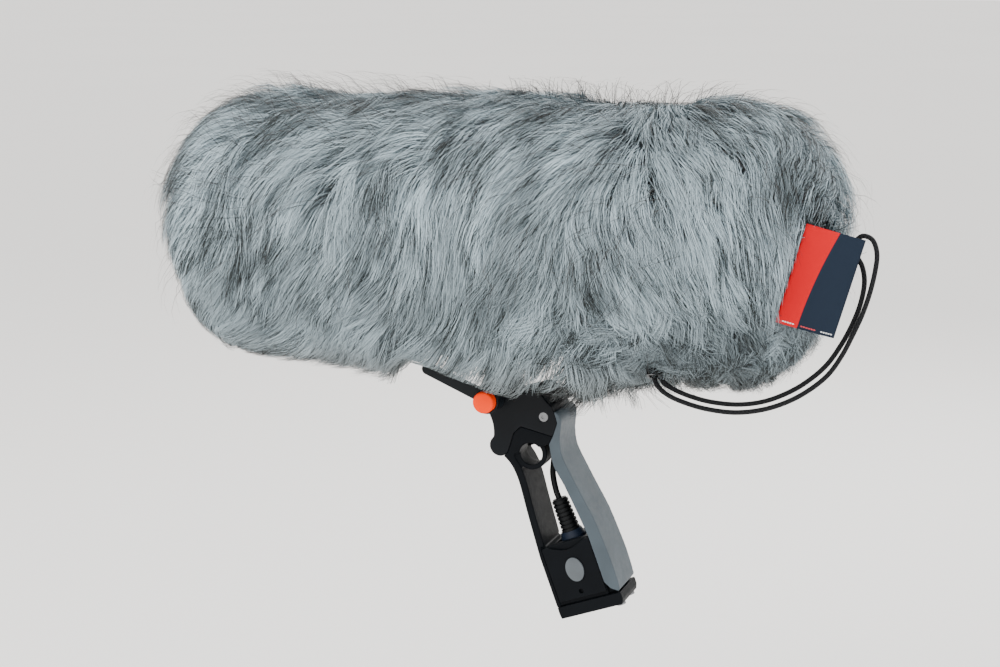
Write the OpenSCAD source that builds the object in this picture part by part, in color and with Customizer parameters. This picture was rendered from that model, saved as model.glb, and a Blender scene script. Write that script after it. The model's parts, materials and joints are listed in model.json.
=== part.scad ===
// Furry windscreen for a shotgun microphone: fur cover, basket, suspension and pistol grip.
// Origin: the mouth of the pole thread in the grip's base. +Z is up, the microphone points
// along -X, and the clamp lever is on the -Y side. The grip leans forward under the basket.

/* [Grip] */
// Lean of the grip from upright, in degrees
grip_lean = 20.5; // [10:0.5:30]
// Thickness of the grip across, along Y
grip_t = 34; // [30:1:42]
// Depth of the grip from its front to its back
grip_d = 46; // [42:1:56]
// Height of the base cap
cap_h = 8; // [7:0.5:10]
// Height of the plug housing above the cap
housing_l = 40.6; // [38:0.5:52]
// Height of the finger window
window_l = 64.4; // [54:0.5:80]
// Height from the window's top to the tilt axis
neck_l = 39.8; // [38:0.5:48]
// Thickness of the front strut
strut_t = 5; // [4:0.5:6.5]
// Thickness of the soft skin on the sides of the grip
skin_t = 2; // [1.5:0.5:3]

/* [Pole and plug sockets] */
// Radius of the pole thread's wall
thread_r = 4; // [3.4:0.1:5]
// Depth of the pole thread
thread_l = 14; // [11:1:18]
// Outer radius of the output socket's shell
socket_r = 9.2; // [8:0.1:9.6]
// Distance from the pole thread to the output socket
socket_w = 18.5; // [18:0.5:20]
// Radius of the cable plug's body
plug_r = 9; // [7.5:0.5:9.5]
// Radius of the plug's ribbed boot
boot_r = 6.2; // [5.5:0.1:7]
// Number of ribs on the boot
boot_ribs = 8; // [5:1:10]
// Radius of the microphone lead
lead_r = 2; // [1.5:0.1:2.2]
// Radius of the lanyard hole in the ring
ring_bore_r = 7.5; // [6:0.5:8.5]
// Wall of the lanyard ring
ring_wall = 3.2; // [2:0.2:4]

/* [Clamp] */
// Radius of the clamp bolt
bolt_r = 4; // [3:0.5:5]
// Radius of the tilt barrel
barrel_r = 10; // [8:0.5:11]
// Thickness of the stem's tongue
tongue_t = 12; // [10:1:14]
// Length of the lever from the tilt axis to its tip
lever_l = 49; // [35:1:50]
// Angle of the lever above level, in degrees
lever_rise = 21.7; // [0:0.1:24]
// Radius of the lever's hub
hub_r = 8.5; // [8.5:0.5:10]
// Radius of the release button
button_r = 7; // [5:0.5:7]
// Travel of the release button
button_travel = 2.5; // [1.5:0.5:3]

/* [Basket] */
// Height of the basket's underside above the tilt axis
stem_rise = 52; // [50:1:60]
// Radius of the basket over its netting
basket_r = 50; // [46:1:60]
// Thickness of the basket's moulded ribs
rib_t = 2.7; // [2:0.1:3.5]
// Thickness of the netting
net_t = 0.8; // [0.5:0.1:1.2]
// Length of the basket's middle section
centre_l = 112; // [104:1:130]
// Length of the front pod
front_l = 113; // [100:1:150]
// Length of the rear pod
rear_l = 117; // [113:1:150]
// Radius of the rounded ends
dome_r = 40; // [30:1:44]
// Width of a lock ring along the axis
ring_w = 4; // [3:0.5:6]

/* [Suspension] */
// Width of the rail
rail_w = 16; // [12:1:18]
// Thickness of the rail
rail_t = 4; // [3:0.5:5]
// Half the distance between the two microphone clips
clip_x = 64; // [60:1:70]
// Travel of a microphone clip along the rail, each way
clip_travel = 20; // [10:1:22]
// Radius of the microphone that the clips hold
mic_r = 9.5; // [9:0.5:12]
// Length of a clip along the microphone
clip_l = 12; // [8:1:16]
// Wall of a clip
clip_t = 2.4; // [1.8:0.2:3]

/* [Fur cover] */
// Thickness of the backing and pile round the basket
pile_t = 32; // [24:1:34]
// Thickness of the cover over the basket's ends
pile_end = 34; // [24:1:40]
// Radius of the cover's rounded ends
end_r = 60; // [48:1:70]
// Height of the combed-back hollow over the grip
hollow_rise = 43; // [40:0.5:47]
// Length of the hollow on each side of the tilt axis
hollow_x = 62; // [56:1:70]
// Half width of the hollow
hollow_y = 42; // [40:1:46]
// Radius of the drawcord
cord_r = 1.5; // [1:0.1:1.8]
// Width of the sewn label
label_w = 36; // [24:1:40]
// Height of the sewn label
label_h = 60; // [40:1:64]

/* [Hidden] */
$fn = 64;
BLACK = [0.06, 0.06, 0.065];
DARK = [0.12, 0.13, 0.15];
GREY = [0.36, 0.40, 0.43];
FUR = [0.60, 0.66, 0.68];
ORANGE = [0.93, 0.33, 0.08];
STEEL = [0.62, 0.63, 0.65];

fit = 0.05;       // radial clearance of a running fit
gap = 0.3;        // clearance between pieces that move apart
slack = 1.5;      // play of the cover round the basket and the stem

// Grip, in its own frame: x = w to the rear, y across, z = h along the grip.
insert_wall = 1.6;                 // wall of the pole thread's insert
insert_r = thread_r + insert_wall;
front_w = -(insert_r + 1.4);
back_w = front_w + grip_d;
pocket_h = cap_h + housing_l;
deck_h = pocket_h + window_l;
pivot_w = -0.5;
pivot_h = deck_h + neck_l;
plate_t = 2;                       // side plate over the housing
housing_t = grip_t - 2 * plate_t;
plate_w0 = front_w + 3;
plate_w1 = back_w - 9;
plate_mid = (plate_w0 + plate_w1) / 2;
plug_w = insert_r + 0.4 + plug_r;  // centre line of the plug in its pocket
pocket_wall = 0.6;                 // play round the plug
ring_c = [10.8, deck_h - 3];
ring_r = ring_bore_r + ring_wall;
lobe_r = 7;
lobe_c = [-7.5, deck_h + 8];
spine_t = 8;                       // thickness of the spine at the waist
core_in = 2.5;                     // soft skin over the back of the spine
pocket_floor = 1.6;
plug_foot = cap_h + pocket_floor + 0.4;
plug_body_l = housing_l - 6;
collar_l = 8;
boot_l = 22;
plug_lean = 1.8;                   // the plug leans a little to the front in its pocket
lead_foot = plug_body_l + collar_l + boot_l - 0.4;
channel_r = lead_r + 0.8;
channel_y = 5;                     // the lead runs on the far side of the ring
screw_r = 1.6;
screw_head_r = 3;
badge_size = [12, 16];
badge_t = 1;

// Tilt axis in the row frame
pivot_x = pivot_w * cos(grip_lean) - pivot_h * sin(grip_lean);
pivot_z = pivot_w * sin(grip_lean) + pivot_h * cos(grip_lean);

// Clamp, across
slot_t = tongue_t + 2.4;           // slot between the head's cheeks
slot_r = barrel_r + 1.2;
slot_drop = 0.65 * barrel_r;       // floor of the slot below the tilt axis, for the rear tilt
washer_t = (slot_t - tongue_t) / 2 - gap;
cheek_y = grip_t / 2;
hub_y0 = cheek_y + 1.2;
hub_l = 12;
hub_floor = 4.3;                   // hub material that bears on the bolt
button_l = 8.5;
spring_l = hub_l - hub_floor - 3;
spring_wire = 0.35;
lever_t = 5;
lever_w = 7;
nut_l = 5.5;
nut_r = 7;

// Windshield, centred on the tilt axis: x along the basket, z up
axis_rise = stem_rise + basket_r;
rib_r = basket_r - net_t;
inner_r = rib_r - rib_t;
centre_x = centre_l / 2;
front_x = -(centre_x + ring_w + front_l);
rear_x = centre_x + ring_w + rear_l;
rail_z = axis_rise - inner_r + 4.5;
rail_top = rail_z + rail_t;
rail_x = clip_x + 50;
web_x = barrel_r;
block_x = 22;
block_y = 13;
block_z0 = 36;
block_z1 = stem_rise - 2;
neck_x = 17;
neck_y = 9;
pad_y = 15;
lead_x = 29;
lead_y = 12;
grommet_r = lead_r + 1.6;
grommet_l = 7;
carriage_l = 24;
pad_x = clip_x - clip_travel - carriage_l / 2 - 1;
carriage_w = rail_w + 8;
carriage_h = 6;
carriage_z1 = rail_top + carriage_h;
plug_len = 34;
plug_x = 112;

// Fur cover
fur_in = basket_r + 2;
fur_r = fur_in + pile_t;
fur_x0 = front_x - 2 - pile_end;
fur_x1 = rear_x + 2 + pile_end;
seam_front = front_x + 53;
seam_rear = rear_x - 47;
hem_t = 2.5;
hem_x0 = -(block_x + slack);
hem_x1 = lead_x + grommet_r + slack;
hem_y = lead_y + grommet_r + slack / 2;
eyelet_x = 115;
eyelet_r = 6;
eyelet_bore = 4;
eyelet_l = 4;
eyelet_turn = 30;                  // round the cover from the bottom towards -Y
label_at = [fur_x1 + 2, -(fur_r - 32), axis_rise - 8];
label_turn = 20;
label_lean = 16;
label_t = 1;

// Drawcord, doubled: out of the eyelet, up behind the label's corner and back, in mm from the
// point of the basket's axis above the tilt axis
cord_points = [
    [113.4, -41.6, -73], [116, -42.5, -79.5], [123, -43, -85], [134, -43, -89], [148, -43, -91.8],
    [164.7, -43, -92.4], [181, -43, -89.4], [195.5, -43, -83.6], [208, -42.5, -75.8],
    [219.3, -42, -65.5], [227, -41.5, -53.5], [233, -41, -40.5], [238, -40.5, -28],
    [241.8, -40, -15], [244.2, -39, -2], [244.6, -37.8, 8], [241.5, -36.6, 15.5],
    [235.5, -35.8, 17.3], [231, -35.2, 12.5], [232, -35, 6], [236, -35.4, -0.5],
    [237.9, -36.6, -10], [236.2, -37.8, -22.5], [232, -38.4, -35], [226, -38.9, -47.5],
    [217.6, -39.4, -60.5], [206, -40, -71.5], [193.8, -40.4, -79.4], [180.2, -40.6, -85.2],
    [165, -40.6, -88], [149, -40.8, -87.6], [136, -41, -85], [125.5, -41.4, -81.2],
    [119.4, -41.6, -77], [117.2, -41.6, -73]
];

// Lead from the plug up through the grip, in the grip's frame
lower_points = [
    [plug_w - lead_foot * sin(plug_lean), 0, plug_foot + lead_foot * cos(plug_lean)],
    [plug_w - 2.4, 0.3, plug_foot + lead_foot + 6], [plug_w - 1.4, 2.2, deck_h - 22],
    [plug_w + 2, 4.2, deck_h - 13], [plug_w + 5.4, channel_y, deck_h - 4],
    [plug_w + 6, channel_y, deck_h + 8], [plug_w + 6, channel_y, deck_h + 24],
    [plug_w + 6, channel_y, pivot_h - 2.4]
];

// Lead inside the basket to the microphone's plug, centred on the tilt axis
upper_points = [
    [lead_x, lead_y, block_z0 - 3], [lead_x, lead_y, block_z1 - 4], [lead_x, lead_y, block_z1 + 6],
    [lead_x - 1, lead_y + 4, block_z1 + 14], [lead_x - 3, lead_y + 14, axis_rise - 28],
    [lead_x + 2, lead_y + 24, axis_rise - 18], [lead_x + 18, lead_y + 28, axis_rise - 11],
    [plug_x - 30, lead_y + 27, axis_rise - 8], [plug_x, lead_y + 27, axis_rise - 6],
    [plug_x + 26, lead_y + 24, axis_rise - 4], [plug_x + 42, lead_y + 14, axis_rise - 2],
    [plug_x + 50, lead_y, axis_rise], [plug_x + 48, lead_y - 9, axis_rise],
    [plug_x + 42, lead_y - 12, axis_rise], [plug_x + plug_len, 0, axis_rise]
];

// ---- Curves ----

// Point on an arc
function on_arc(c, r, a) = c + r * [cos(a), sin(a)];

// Arc from angle a to angle b in n steps
function arc(c, r, a, b, n = 12) = [for (k = [0:n]) on_arc(c, r, a + (b - a) * k / n)];

// Catmull-Rom blend of four points
function blend(a, b, c, d, t) = 0.5 * (2 * b + (c - a) * t + (2 * a - 5 * b + 4 * c - d) * t * t
    + (3 * b - a - 3 * c + d) * t * t * t);

// Smooth curve through the points, n steps to each stretch
function through(p, n = 4) = [
    for (i = [0:len(p) - 2], k = [0:n - 1])
        blend(p[max(i - 1, 0)], p[i], p[i + 1], p[min(i + 2, len(p) - 1)], k / n),
    p[len(p) - 1]
];

function unit(v) = v / norm(v);
function reversed(p) = [for (i = [len(p) - 1:-1:0]) p[i]];
function heading(p, i) = unit(p[min(i + 1, len(p) - 1)] - p[max(i - 1, 0)]);

// Side vector of a tube, carried along the curve so that it doesn't twist
function carried(s, t) = unit(s - (s * t) * t);
function sides(p, i = 0, s = [0.3, 1, 0.2]) =
    let (now = carried(s, heading(p, i)))
    i == len(p) - 1 ? [now] : concat([now], sides(p, i + 1, now));

// Outline of a strip of thickness t along a flat curve
function strip(p, t) = concat(
    [for (i = [0:len(p) - 1]) let (d = heading(p, i)) p[i] + t / 2 * [-d[1], d[0]]],
    reversed([for (i = [0:len(p) - 1]) let (d = heading(p, i)) p[i] - t / 2 * [-d[1], d[0]]])
);

// ---- Shapes ----

// Tube of radius r along the points
module tube(p, r, n = 8) {
    s = sides(p);
    rings = [
        for (i = [0:len(p) - 1], k = [0:n - 1])
            let (t = heading(p, i), u = s[i], v = cross(t, u), a = 360 * k / n)
            p[i] + r * (cos(a) * u + sin(a) * v)
    ];
    skin = [
        for (i = [0:len(p) - 2], k = [0:n - 1])
            let (a = i * n + k, b = i * n + (k + 1) % n)
            each [[a, a + n, b], [b, a + n, b + n]]
    ];
    start = [[for (k = [0:n - 1]) k]];
    finish = [[for (k = [n - 1:-1:0]) (len(p) - 1) * n + k]];
    polyhedron(rings, concat(start, skin, finish));
}

// Flat outline in the (x, z) plane, t thick along Y about y
module slab(points, t, y = 0) {
    translate([0, y, 0])
        rotate([90, 0, 0])
            linear_extrude(t, center = true)
                polygon(points);
}

// Cylinder along Y from y0 to y1 about (x, z)
module pin_y(x, z, r, y0, y1) {
    translate([x, y0, z])
        rotate([-90, 0, 0])
            cylinder(h = y1 - y0, r = r);
}

// Cylinder along X from x0 to x1 about the basket's axis height z
module pin_x(x0, x1, r, z, y = 0) {
    translate([x0, y, z])
        rotate([0, 90, 0])
            cylinder(h = x1 - x0, r = r);
}

// Box from its low corner to its high corner
module block(low, high) {
    translate(low)
        cube(high - low);
}

module on_grip() {
    rotate([0, -grip_lean, 0])
        children();
}

module on_pivot() {
    translate([pivot_x, 0, pivot_z])
        children();
}

// Profile of (x, radius) points turned about the basket's axis
module turned(profile) {
    translate([0, 0, axis_rise])
        rotate([0, 90, 0])
            rotate_extrude($fn = 96)
                polygon([for (p = profile) [p[1], p[0]]]);
}

// ---- Outlines of the grip ----

function window_at(t) = pocket_h + t * window_l;

// Front edge of the strut, from the housing up to the head
function strut_front() = through([
    [front_w, pocket_h - 6], [front_w + 0.7, window_at(0.08)], [front_w + 2.2, window_at(0.41)],
    [front_w + 3.8, window_at(0.71)], [front_w + 3.2, window_at(0.87)],
    [front_w + 1.2, window_at(0.97)], [lobe_c[0], lobe_c[1] - lobe_r]
]);

// Front face of the spine, on the window's side
function spine_front() = through([
    [back_w - 9, pocket_h], [back_w - 10.1, window_at(0.17)], [back_w - 11.4, window_at(0.35)],
    [back_w - 13.3, window_at(0.58)], [back_w - 7.6 - spine_t, window_at(0.78)],
    [back_w - 13.6, window_at(1)]
]);

// Palm side of the grip from the base to the lobe
function palm(inset = 0) = [
    for (p = through([
        [back_w - 0.6, 7], [back_w + 0.2, 15], [back_w + 0.6, 28], [back_w, pocket_h - 6],
        [back_w - 1.1, window_at(0.15)], [back_w - 3.7, window_at(0.4)],
        [back_w - 5.8, window_at(0.61)], [back_w - 7.6, window_at(0.82)],
        [back_w - 7, window_at(0.93)], [back_w - 5, deck_h + 2.3], [back_w - 2, deck_h + 8.5],
        [back_w - 0.4, deck_h + 12.4], [back_w - 0.8, deck_h + 17], [back_w - 2.6, deck_h + 19.6]
    ])) p - [inset, 0]
];

// Joint between the frame's deck and the head
function seam_line() = [
    [lobe_c[0], lobe_c[1] - lobe_r], [lobe_c[0] + 4, deck_h + 2.5], [5, deck_h + 13.5],
    [10.9, deck_h + 16], [back_w - 9.5, deck_h + 4], [back_w - 3.5, deck_h + 11.5],
    [back_w - 3.2, deck_h + 19]
];

function head_outline() = concat(
    seam_line(),
    [
        [back_w - 3.6, deck_h + 23], [pivot_w + 33.5, pivot_h - 12], [pivot_w + 31.8, pivot_h - 6],
        [pivot_w + 29.5, pivot_h - 3.4], [pivot_w + 13, pivot_h - 2.6]
    ],
    arc([pivot_w, pivot_h], barrel_r, -15, 205, 24),
    through([
        [pivot_w - 6.6, pivot_h - 9], [pivot_w - 6.4, pivot_h - 16],
        [pivot_w - 7.9, pivot_h - 22.5], on_arc(lobe_c, lobe_r, 108)
    ]),
    arc(lobe_c, lobe_r, 120, 255, 12)
);

// ---- Grip ----

// Outside of the frame, without the soft skin
function frame_outline() = concat(
    [[front_w, cap_h]],
    strut_front(),
    [for (p = seam_line()) if (p[1] < deck_h + 18 && p[1] > deck_h + 1.5) p],
    reversed([for (p = palm(core_in)) if (p[1] > cap_h + 1 && p[1] < deck_h + 8.6) p]),
    [[back_w - core_in - 0.8, cap_h]]
);

// Finger window between the strut and the spine
function window_outline() = concat(
    [for (p = strut_front()) if (p[1] > pocket_h && p[1] < deck_h - 3) p + [strut_t, 0]],
    [[front_w + strut_t + 2, deck_h]],
    reversed(spine_front()),
    [[front_w + strut_t + 0.5, pocket_h]]
);

// Seat of the soft skin on the sides of the frame
function skin_seat() = concat(
    [[plate_w1, cap_h - 1], [plate_w1, pocket_h - 1]],
    [for (p = spine_front()) if (p[1] > pocket_h && p[1] < deck_h - 2) p - [1, 0]],
    [[back_w - 13.1, deck_h + 0.5], [back_w - 9.5, deck_h + 4], [back_w - 8, deck_h + 12],
        [back_w + 3, deck_h + 22], [back_w + 3, cap_h - 1]]
);

module grip_frame() color(BLACK) on_grip() difference() {
    union() {
        difference() {
            slab(frame_outline(), grip_t);
            slab(window_outline(), grip_t + 2);
        }
        pin_y(ring_c[0], ring_c[1], ring_r, -grip_t / 2 + skin_t, -1);
    }
    // pocket for the plug, open to the window
    block([plug_w - plug_r - pocket_wall - plug_body_l * sin(plug_lean), -plug_r - pocket_wall,
            cap_h + pocket_floor],
        [plug_w + plug_r + pocket_wall, plug_r + pocket_wall, pocket_h + 1]);
    pin_y(ring_c[0], ring_c[1], ring_bore_r, -grip_t / 2 - 1, 1);
    lead_channel();
    translate([0, 0, cap_h - 1])
        cylinder(h = thread_l, r = insert_r);
    for (side = [-1, 1]) {
        slab(skin_seat(), grip_t, side * (grip_t - 2 * skin_t));
        translate([0, side * grip_t / 2, 0])
            block([plate_w0 - gap, -plate_t, cap_h - 1], [plate_w1 + 0.5, plate_t, pocket_h + 1]);
        translate([back_w - 5, side * (grip_t / 2 - 7), cap_h - 1])
            cylinder(h = 8, r = screw_r);
    }
}

// Straight way for the lead through the deck and the head
module lead_channel() {
    low = lower_points[4];
    high = lower_points[7];
    translate(low - unit(high - low) * 4)
        rotate([0, atan2(high[0] - low[0], high[2] - low[2]), 0])
            cylinder(h = norm(high - low) + 12, r = channel_r);
}

// Soft skin round the back of the spine, open to the window
module soft_grip() color(GREY) on_grip() difference() {
    slab(concat(
        [[plate_w1, cap_h + 9]],
        spine_front(),
        [[back_w - 9.5, deck_h + 4], [back_w - 3.5, deck_h + 11.5], [back_w - 3.2, deck_h + 19]],
        reversed([for (p = palm()) if (p[1] > cap_h + 2 && p[1] < deck_h + 19) p]),
        [[back_w - 1.5, cap_h + 1], [plate_w1 + 3, cap_h + 4]]
    ), grip_t);
    slab(concat(
        [[plate_w1 - 3, cap_h - 2]],
        [for (p = spine_front()) p - [3, 0]],
        [[back_w - 12.5, deck_h + 6], [back_w - 3.5, deck_h + 11.5]],
        reversed([for (p = palm(core_in)) if (p[1] > cap_h + 1 && p[1] < deck_h + 8.6) p]),
        [[back_w - core_in - 0.8, cap_h - 2]]
    ), grip_t - 4 * skin_t);
}

// Cover of the plug housing, with a dished top edge
module side_plate() {
    difference() {
        slab(concat(
            [[plate_w0, cap_h + 3]],
            [[plate_w0, pocket_h - 1]],
            through([[plate_w0 + 3, pocket_h - 0.5], [plate_mid, pocket_h - 5],
                [plate_w1 - 3, pocket_h - 0.5]]),
            [[plate_w1 - gap, pocket_h - 1], [plate_w1 - gap, cap_h + 3]]), plate_t);
        pin_y(plate_mid, cap_h + 7, screw_r, -plate_t, plate_t);
    }
}

module side_plate_near() color(DARK) on_grip()
    translate([0, -grip_t / 2 + plate_t / 2, 0])
        side_plate();

module side_plate_far() color(DARK) on_grip()
    translate([0, grip_t / 2 - plate_t / 2, 0])
        side_plate();

// Blank oval badge
module badge(y) {
    translate([plate_mid + 1, y, cap_h + 22])
        rotate([90, 0, 0])
            linear_extrude(badge_t, center = true)
                polygon([for (k = [0:35])
                    [badge_size[0] / 2 * cos(10 * k), badge_size[1] / 2 * sin(10 * k)]]);
}

module badge_near() color(STEEL) on_grip() badge(-grip_t / 2 - badge_t / 2);
module badge_far() color(STEEL) on_grip() badge(grip_t / 2 + badge_t / 2);

module base_cap() color(BLACK) on_grip() difference() {
    slab([
        [front_w + 0.6, 0], [back_w - 2, 0], [back_w - 0.6, 3], [back_w - 0.6, cap_h],
        [front_w, cap_h], [front_w, 2]
    ], grip_t);
    translate([0, 0, -1])
        cylinder(h = cap_h + 2, r = insert_r);
    translate([socket_w, 0, -1])
        cylinder(h = cap_h + 2, r = socket_r);
    for (y = [-1, 1])
        translate([back_w - 5, y * (grip_t / 2 - 7), -1])
            cylinder(h = cap_h + 2, r = screw_r);
}

module base_screws() color(STEEL) on_grip()
    for (y = [-1, 1])
        translate([back_w - 5, y * (grip_t / 2 - 7), 0]) difference() {
            union() {
                cylinder(h = cap_h + 6, r = screw_r);
                translate([0, 0, -1.4])
                    cylinder(h = 1.4, r = screw_head_r);
            }
            translate([0, 0, -2])
                cylinder(h = 1.6, r = 1.3, $fn = 6);
        }

// Threaded insert for the boom pole, drawn at the wall radius
module pole_insert() color(STEEL) on_grip() difference() {
    cylinder(h = thread_l, r = insert_r);
    translate([0, 0, -1])
        cylinder(h = thread_l + 2, r = thread_r);
}

// Output socket: metal shell open downwards, insulator and three pins
module xlr_shell() color(STEEL) on_grip() translate([socket_w, 0, 0]) difference() {
    translate([0, 0, -1])
        cylinder(h = cap_h + 1, r = socket_r);
    translate([0, 0, -2])
        cylinder(h = cap_h + 3, r = socket_r - 1.1);
}

module xlr_insert() color(BLACK) on_grip() translate([socket_w, 0, 0]) difference() {
    translate([0, 0, cap_h - 2])
        cylinder(h = 2, r = socket_r - 1.1);
    for (k = [0:2])
        rotate([0, 0, 120 * k])
            translate([0, 3.6, cap_h - 3])
                cylinder(h = 4, r = 1.2);
}

module xlr_pins() color(STEEL) on_grip() translate([socket_w, 0, 0])
    for (k = [0:2])
        rotate([0, 0, 120 * k])
            translate([0, 3.6, -0.2])
                cylinder(h = cap_h + 0.2, r = 1.2);

// ---- Plug and lead in the grip ----

module on_plug() {
    translate([plug_w, 0, plug_foot])
        rotate([0, -plug_lean, 0])
            children();
}

module plug_body() color(DARK) on_grip() on_plug()
    cylinder(h = plug_body_l, r = plug_r);

module plug_collar() color([0.16, 0.22, 0.33]) on_grip() on_plug()
    translate([0, 0, plug_body_l])
        rotate_extrude()
            polygon([[0, 0], [plug_r - 0.6, 0], [plug_r - 0.6, 4], [boot_r + 0.8, collar_l],
                [0, collar_l]]);

// Ribbed strain relief, tapering to the lead
module ribbed_boot(l, r_low, r_high, ribs) {
    pitch = l / ribs;
    rotate_extrude()
        polygon(concat(
            [[0, 0]],
            [for (k = [0:ribs - 1]) let (r = r_low + (r_high - r_low) * k / ribs)
                each [[r, k * pitch], [r, k * pitch + pitch * 0.6],
                    [r - 0.9, k * pitch + pitch * 0.6], [r - 0.9, (k + 1) * pitch]]],
            [[0, l]]));
}

module plug_boot() color(BLACK) on_grip() on_plug()
    translate([0, 0, plug_body_l + collar_l])
        ribbed_boot(boot_l, boot_r, boot_r - 0.8, boot_ribs);

module lead_lower() color(BLACK) on_grip() tube(through(lower_points, 3), lead_r);

// ---- Head and clamp ----

module head() color(BLACK) on_grip() difference() {
    slab(head_outline(), grip_t);
    pin_y(pivot_w, pivot_h, slot_r, -slot_t / 2, slot_t / 2);
    block([pivot_w, -slot_t / 2, pivot_h - slot_drop],
        [back_w + 5, slot_t / 2, pivot_h + barrel_r + 2]);
    block([pivot_w - barrel_r - 5, -slot_t / 2, pivot_h], [pivot_w + 1, slot_t / 2, pivot_h + 20]);
    pin_y(pivot_w, pivot_h, bolt_r, -grip_t, grip_t);
    lead_channel();
    pin_y(back_w - 11, pivot_h - 22, screw_head_r, -grip_t / 2 - 1, -grip_t / 2 + 2);
}

module head_screw() color(STEEL) on_grip() difference() {
    pin_y(back_w - 11, pivot_h - 22, screw_head_r, -grip_t / 2 + 0.4, -grip_t / 2 + 2);
    translate([back_w - 11, -grip_t / 2 + 1, pivot_h - 22])
        rotate([90, 0, 0])
            cylinder(h = 3, r = 1.5, $fn = 6);
}

module clamp_bolt() color(STEEL) on_pivot()
    pin_y(0, 0, bolt_r, -(hub_y0 + hub_floor - 0.5), cheek_y + nut_l + 2);

module clamp_nut() color(STEEL) on_pivot() difference() {
    union() {
        pin_y(0, 0, nut_r + 1.5, cheek_y, cheek_y + 1);
        translate([0, cheek_y + 1, 0])
            rotate([-90, 0, 0])
                cylinder(h = nut_l, r = nut_r, $fn = 6);
    }
    pin_y(0, 0, bolt_r, cheek_y - 1, cheek_y + nut_l + 2);
}

module friction_washers() color([0.5, 0.42, 0.3]) on_pivot()
    for (side = [0, 1])
        mirror([0, side, 0]) difference() {
            pin_y(0, 0, barrel_r - 0.5, slot_t / 2 - washer_t, slot_t / 2);
            pin_y(0, 0, bolt_r, 0, slot_t);
        }

module lever() color(BLACK) on_pivot() rotate([0, lever_rise, 0]) difference() {
    union() {
        pin_y(0, 0, hub_r, -hub_y0 - hub_l, -hub_y0);
        slab([
            [0, -hub_r * 0.7], [-hub_r, -lever_w / 2 - 0.6], [-lever_l + lever_w / 2, -lever_w / 2],
            each arc([-lever_l + lever_w / 2, 0], lever_w / 2, 270, 90, 12),
            [-hub_r, lever_w / 2 + 0.6], [0, hub_r * 0.7]
        ], lever_t, -hub_y0 - hub_floor - lever_t / 2 + 1.5);
    }
    pin_y(0, 0, bolt_r + fit, -hub_y0 - hub_l, 0);
    pin_y(0, 0, button_r + fit, -hub_y0 - hub_l - 1, -hub_y0 - hub_floor);
}

module lever_button() color(ORANGE) on_pivot()
    translate([0, -hub_y0 - hub_floor - spring_l - 0.1, 0])
        rotate([90, 0, 0])
            rotate_extrude()
                polygon([[0, 0], [button_r, 0], [button_r, button_l - 1.2],
                    each arc([button_r - 1.2, button_l - 1.2], 1.2, 0, 90, 6), [0, button_l]]);

// Coil spring under the button
module button_spring() color(STEEL) on_pivot() {
    turns = 3;
    coil_r = button_r - 1.6;
    tube([for (k = [0:turns * 12]) [
        coil_r * cos(30 * k),
        -hub_y0 - hub_floor - spring_wire - (spring_l - 2 * spring_wire - 0.2) * k / (turns * 12) - 0.1,
        coil_r * sin(30 * k)
    ]], spring_wire, 6);
}

// ---- Stem and rail ----

module stem() color(BLACK) on_pivot() difference() {
    union() {
        pin_y(0, 0, barrel_r, -tongue_t / 2, tongue_t / 2);
        block([-web_x, -tongue_t / 2, 0], [web_x, tongue_t / 2, block_z0 + 1]);
        block([-block_x, -block_y, block_z0], [block_x, block_y, block_z1]);
        block([-neck_x, -neck_y, block_z1 - 1], [neck_x, neck_y, rail_z]);
    }
    pin_y(0, 0, bolt_r + fit, -tongue_t, tongue_t);
    for (x = [-10, 10])
        translate([x, 0, rail_z - 9])
            cylinder(h = 10, r = screw_r);
}

// Rubber saddle between the stem and the round basket
module stem_gasket() color(BLACK) on_pivot() difference() {
    block([-block_x, -block_y, block_z1], [block_x, block_y, block_z1 + 5]);
    block([-neck_x, -neck_y, block_z1 - 1], [neck_x, neck_y, block_z1 + 6]);
    pin_x(-block_x - 1, block_x + 1, basket_r, axis_rise, $fn = 360);
}

module rail() color(STEEL) on_pivot() difference() {
    block([-rail_x, -rail_w / 2, rail_z], [rail_x, rail_w / 2, rail_top]);
    for (x = [-10, 10])
        translate([x, 0, rail_z - 1])
            cylinder(h = rail_t + 2, r = screw_r);
}

module rail_screws() color(STEEL) on_pivot()
    for (x = [-10, 10])
        translate([x, 0, 0]) {
            translate([0, 0, rail_z - 8])
                cylinder(h = rail_t + 8, r = screw_r);
            translate([0, 0, rail_top])
                cylinder(h = 1.8, r = screw_head_r);
        }

module lead_grommet() color(BLACK) on_pivot() translate([lead_x, lead_y, 0]) difference() {
    translate([0, 0, block_z1 + 0.5])
        cylinder(h = grommet_l, r = grommet_r);
    translate([0, 0, block_z1 - 1])
        cylinder(h = grommet_l + 4, r = lead_r);
}

module lead_upper() color(BLACK) on_pivot() tube(through(upper_points, 3), lead_r);

module mic_plug() color(DARK) on_pivot()
    pin_x(plug_x, plug_x + plug_len - 12, plug_r, axis_rise);

module mic_plug_boot() color(BLACK) on_pivot()
    translate([plug_x + plug_len - 12, 0, axis_rise])
        rotate([0, 90, 0]) difference() {
            ribbed_boot(12, boot_r, boot_r - 1.2, 5);
            translate([0, 0, 11])
                cylinder(h = 2, r = lead_r);
        }

// ---- Microphone suspension ----

// Base that slides on the rail
module carriage(x) {
    difference() {
        block([x - carriage_l / 2, -carriage_w / 2, rail_z - 1.7],
            [x + carriage_l / 2, carriage_w / 2, carriage_z1]);
        block([x - carriage_l, -rail_w / 2 - gap, rail_z - gap],
            [x + carriage_l, rail_w / 2 + gap, rail_top + gap]);
        block([x - carriage_l, -rail_w / 2 + 1.5, rail_z - 3],
            [x + carriage_l, rail_w / 2 - 1.5, rail_z]);
    }
}

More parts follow.
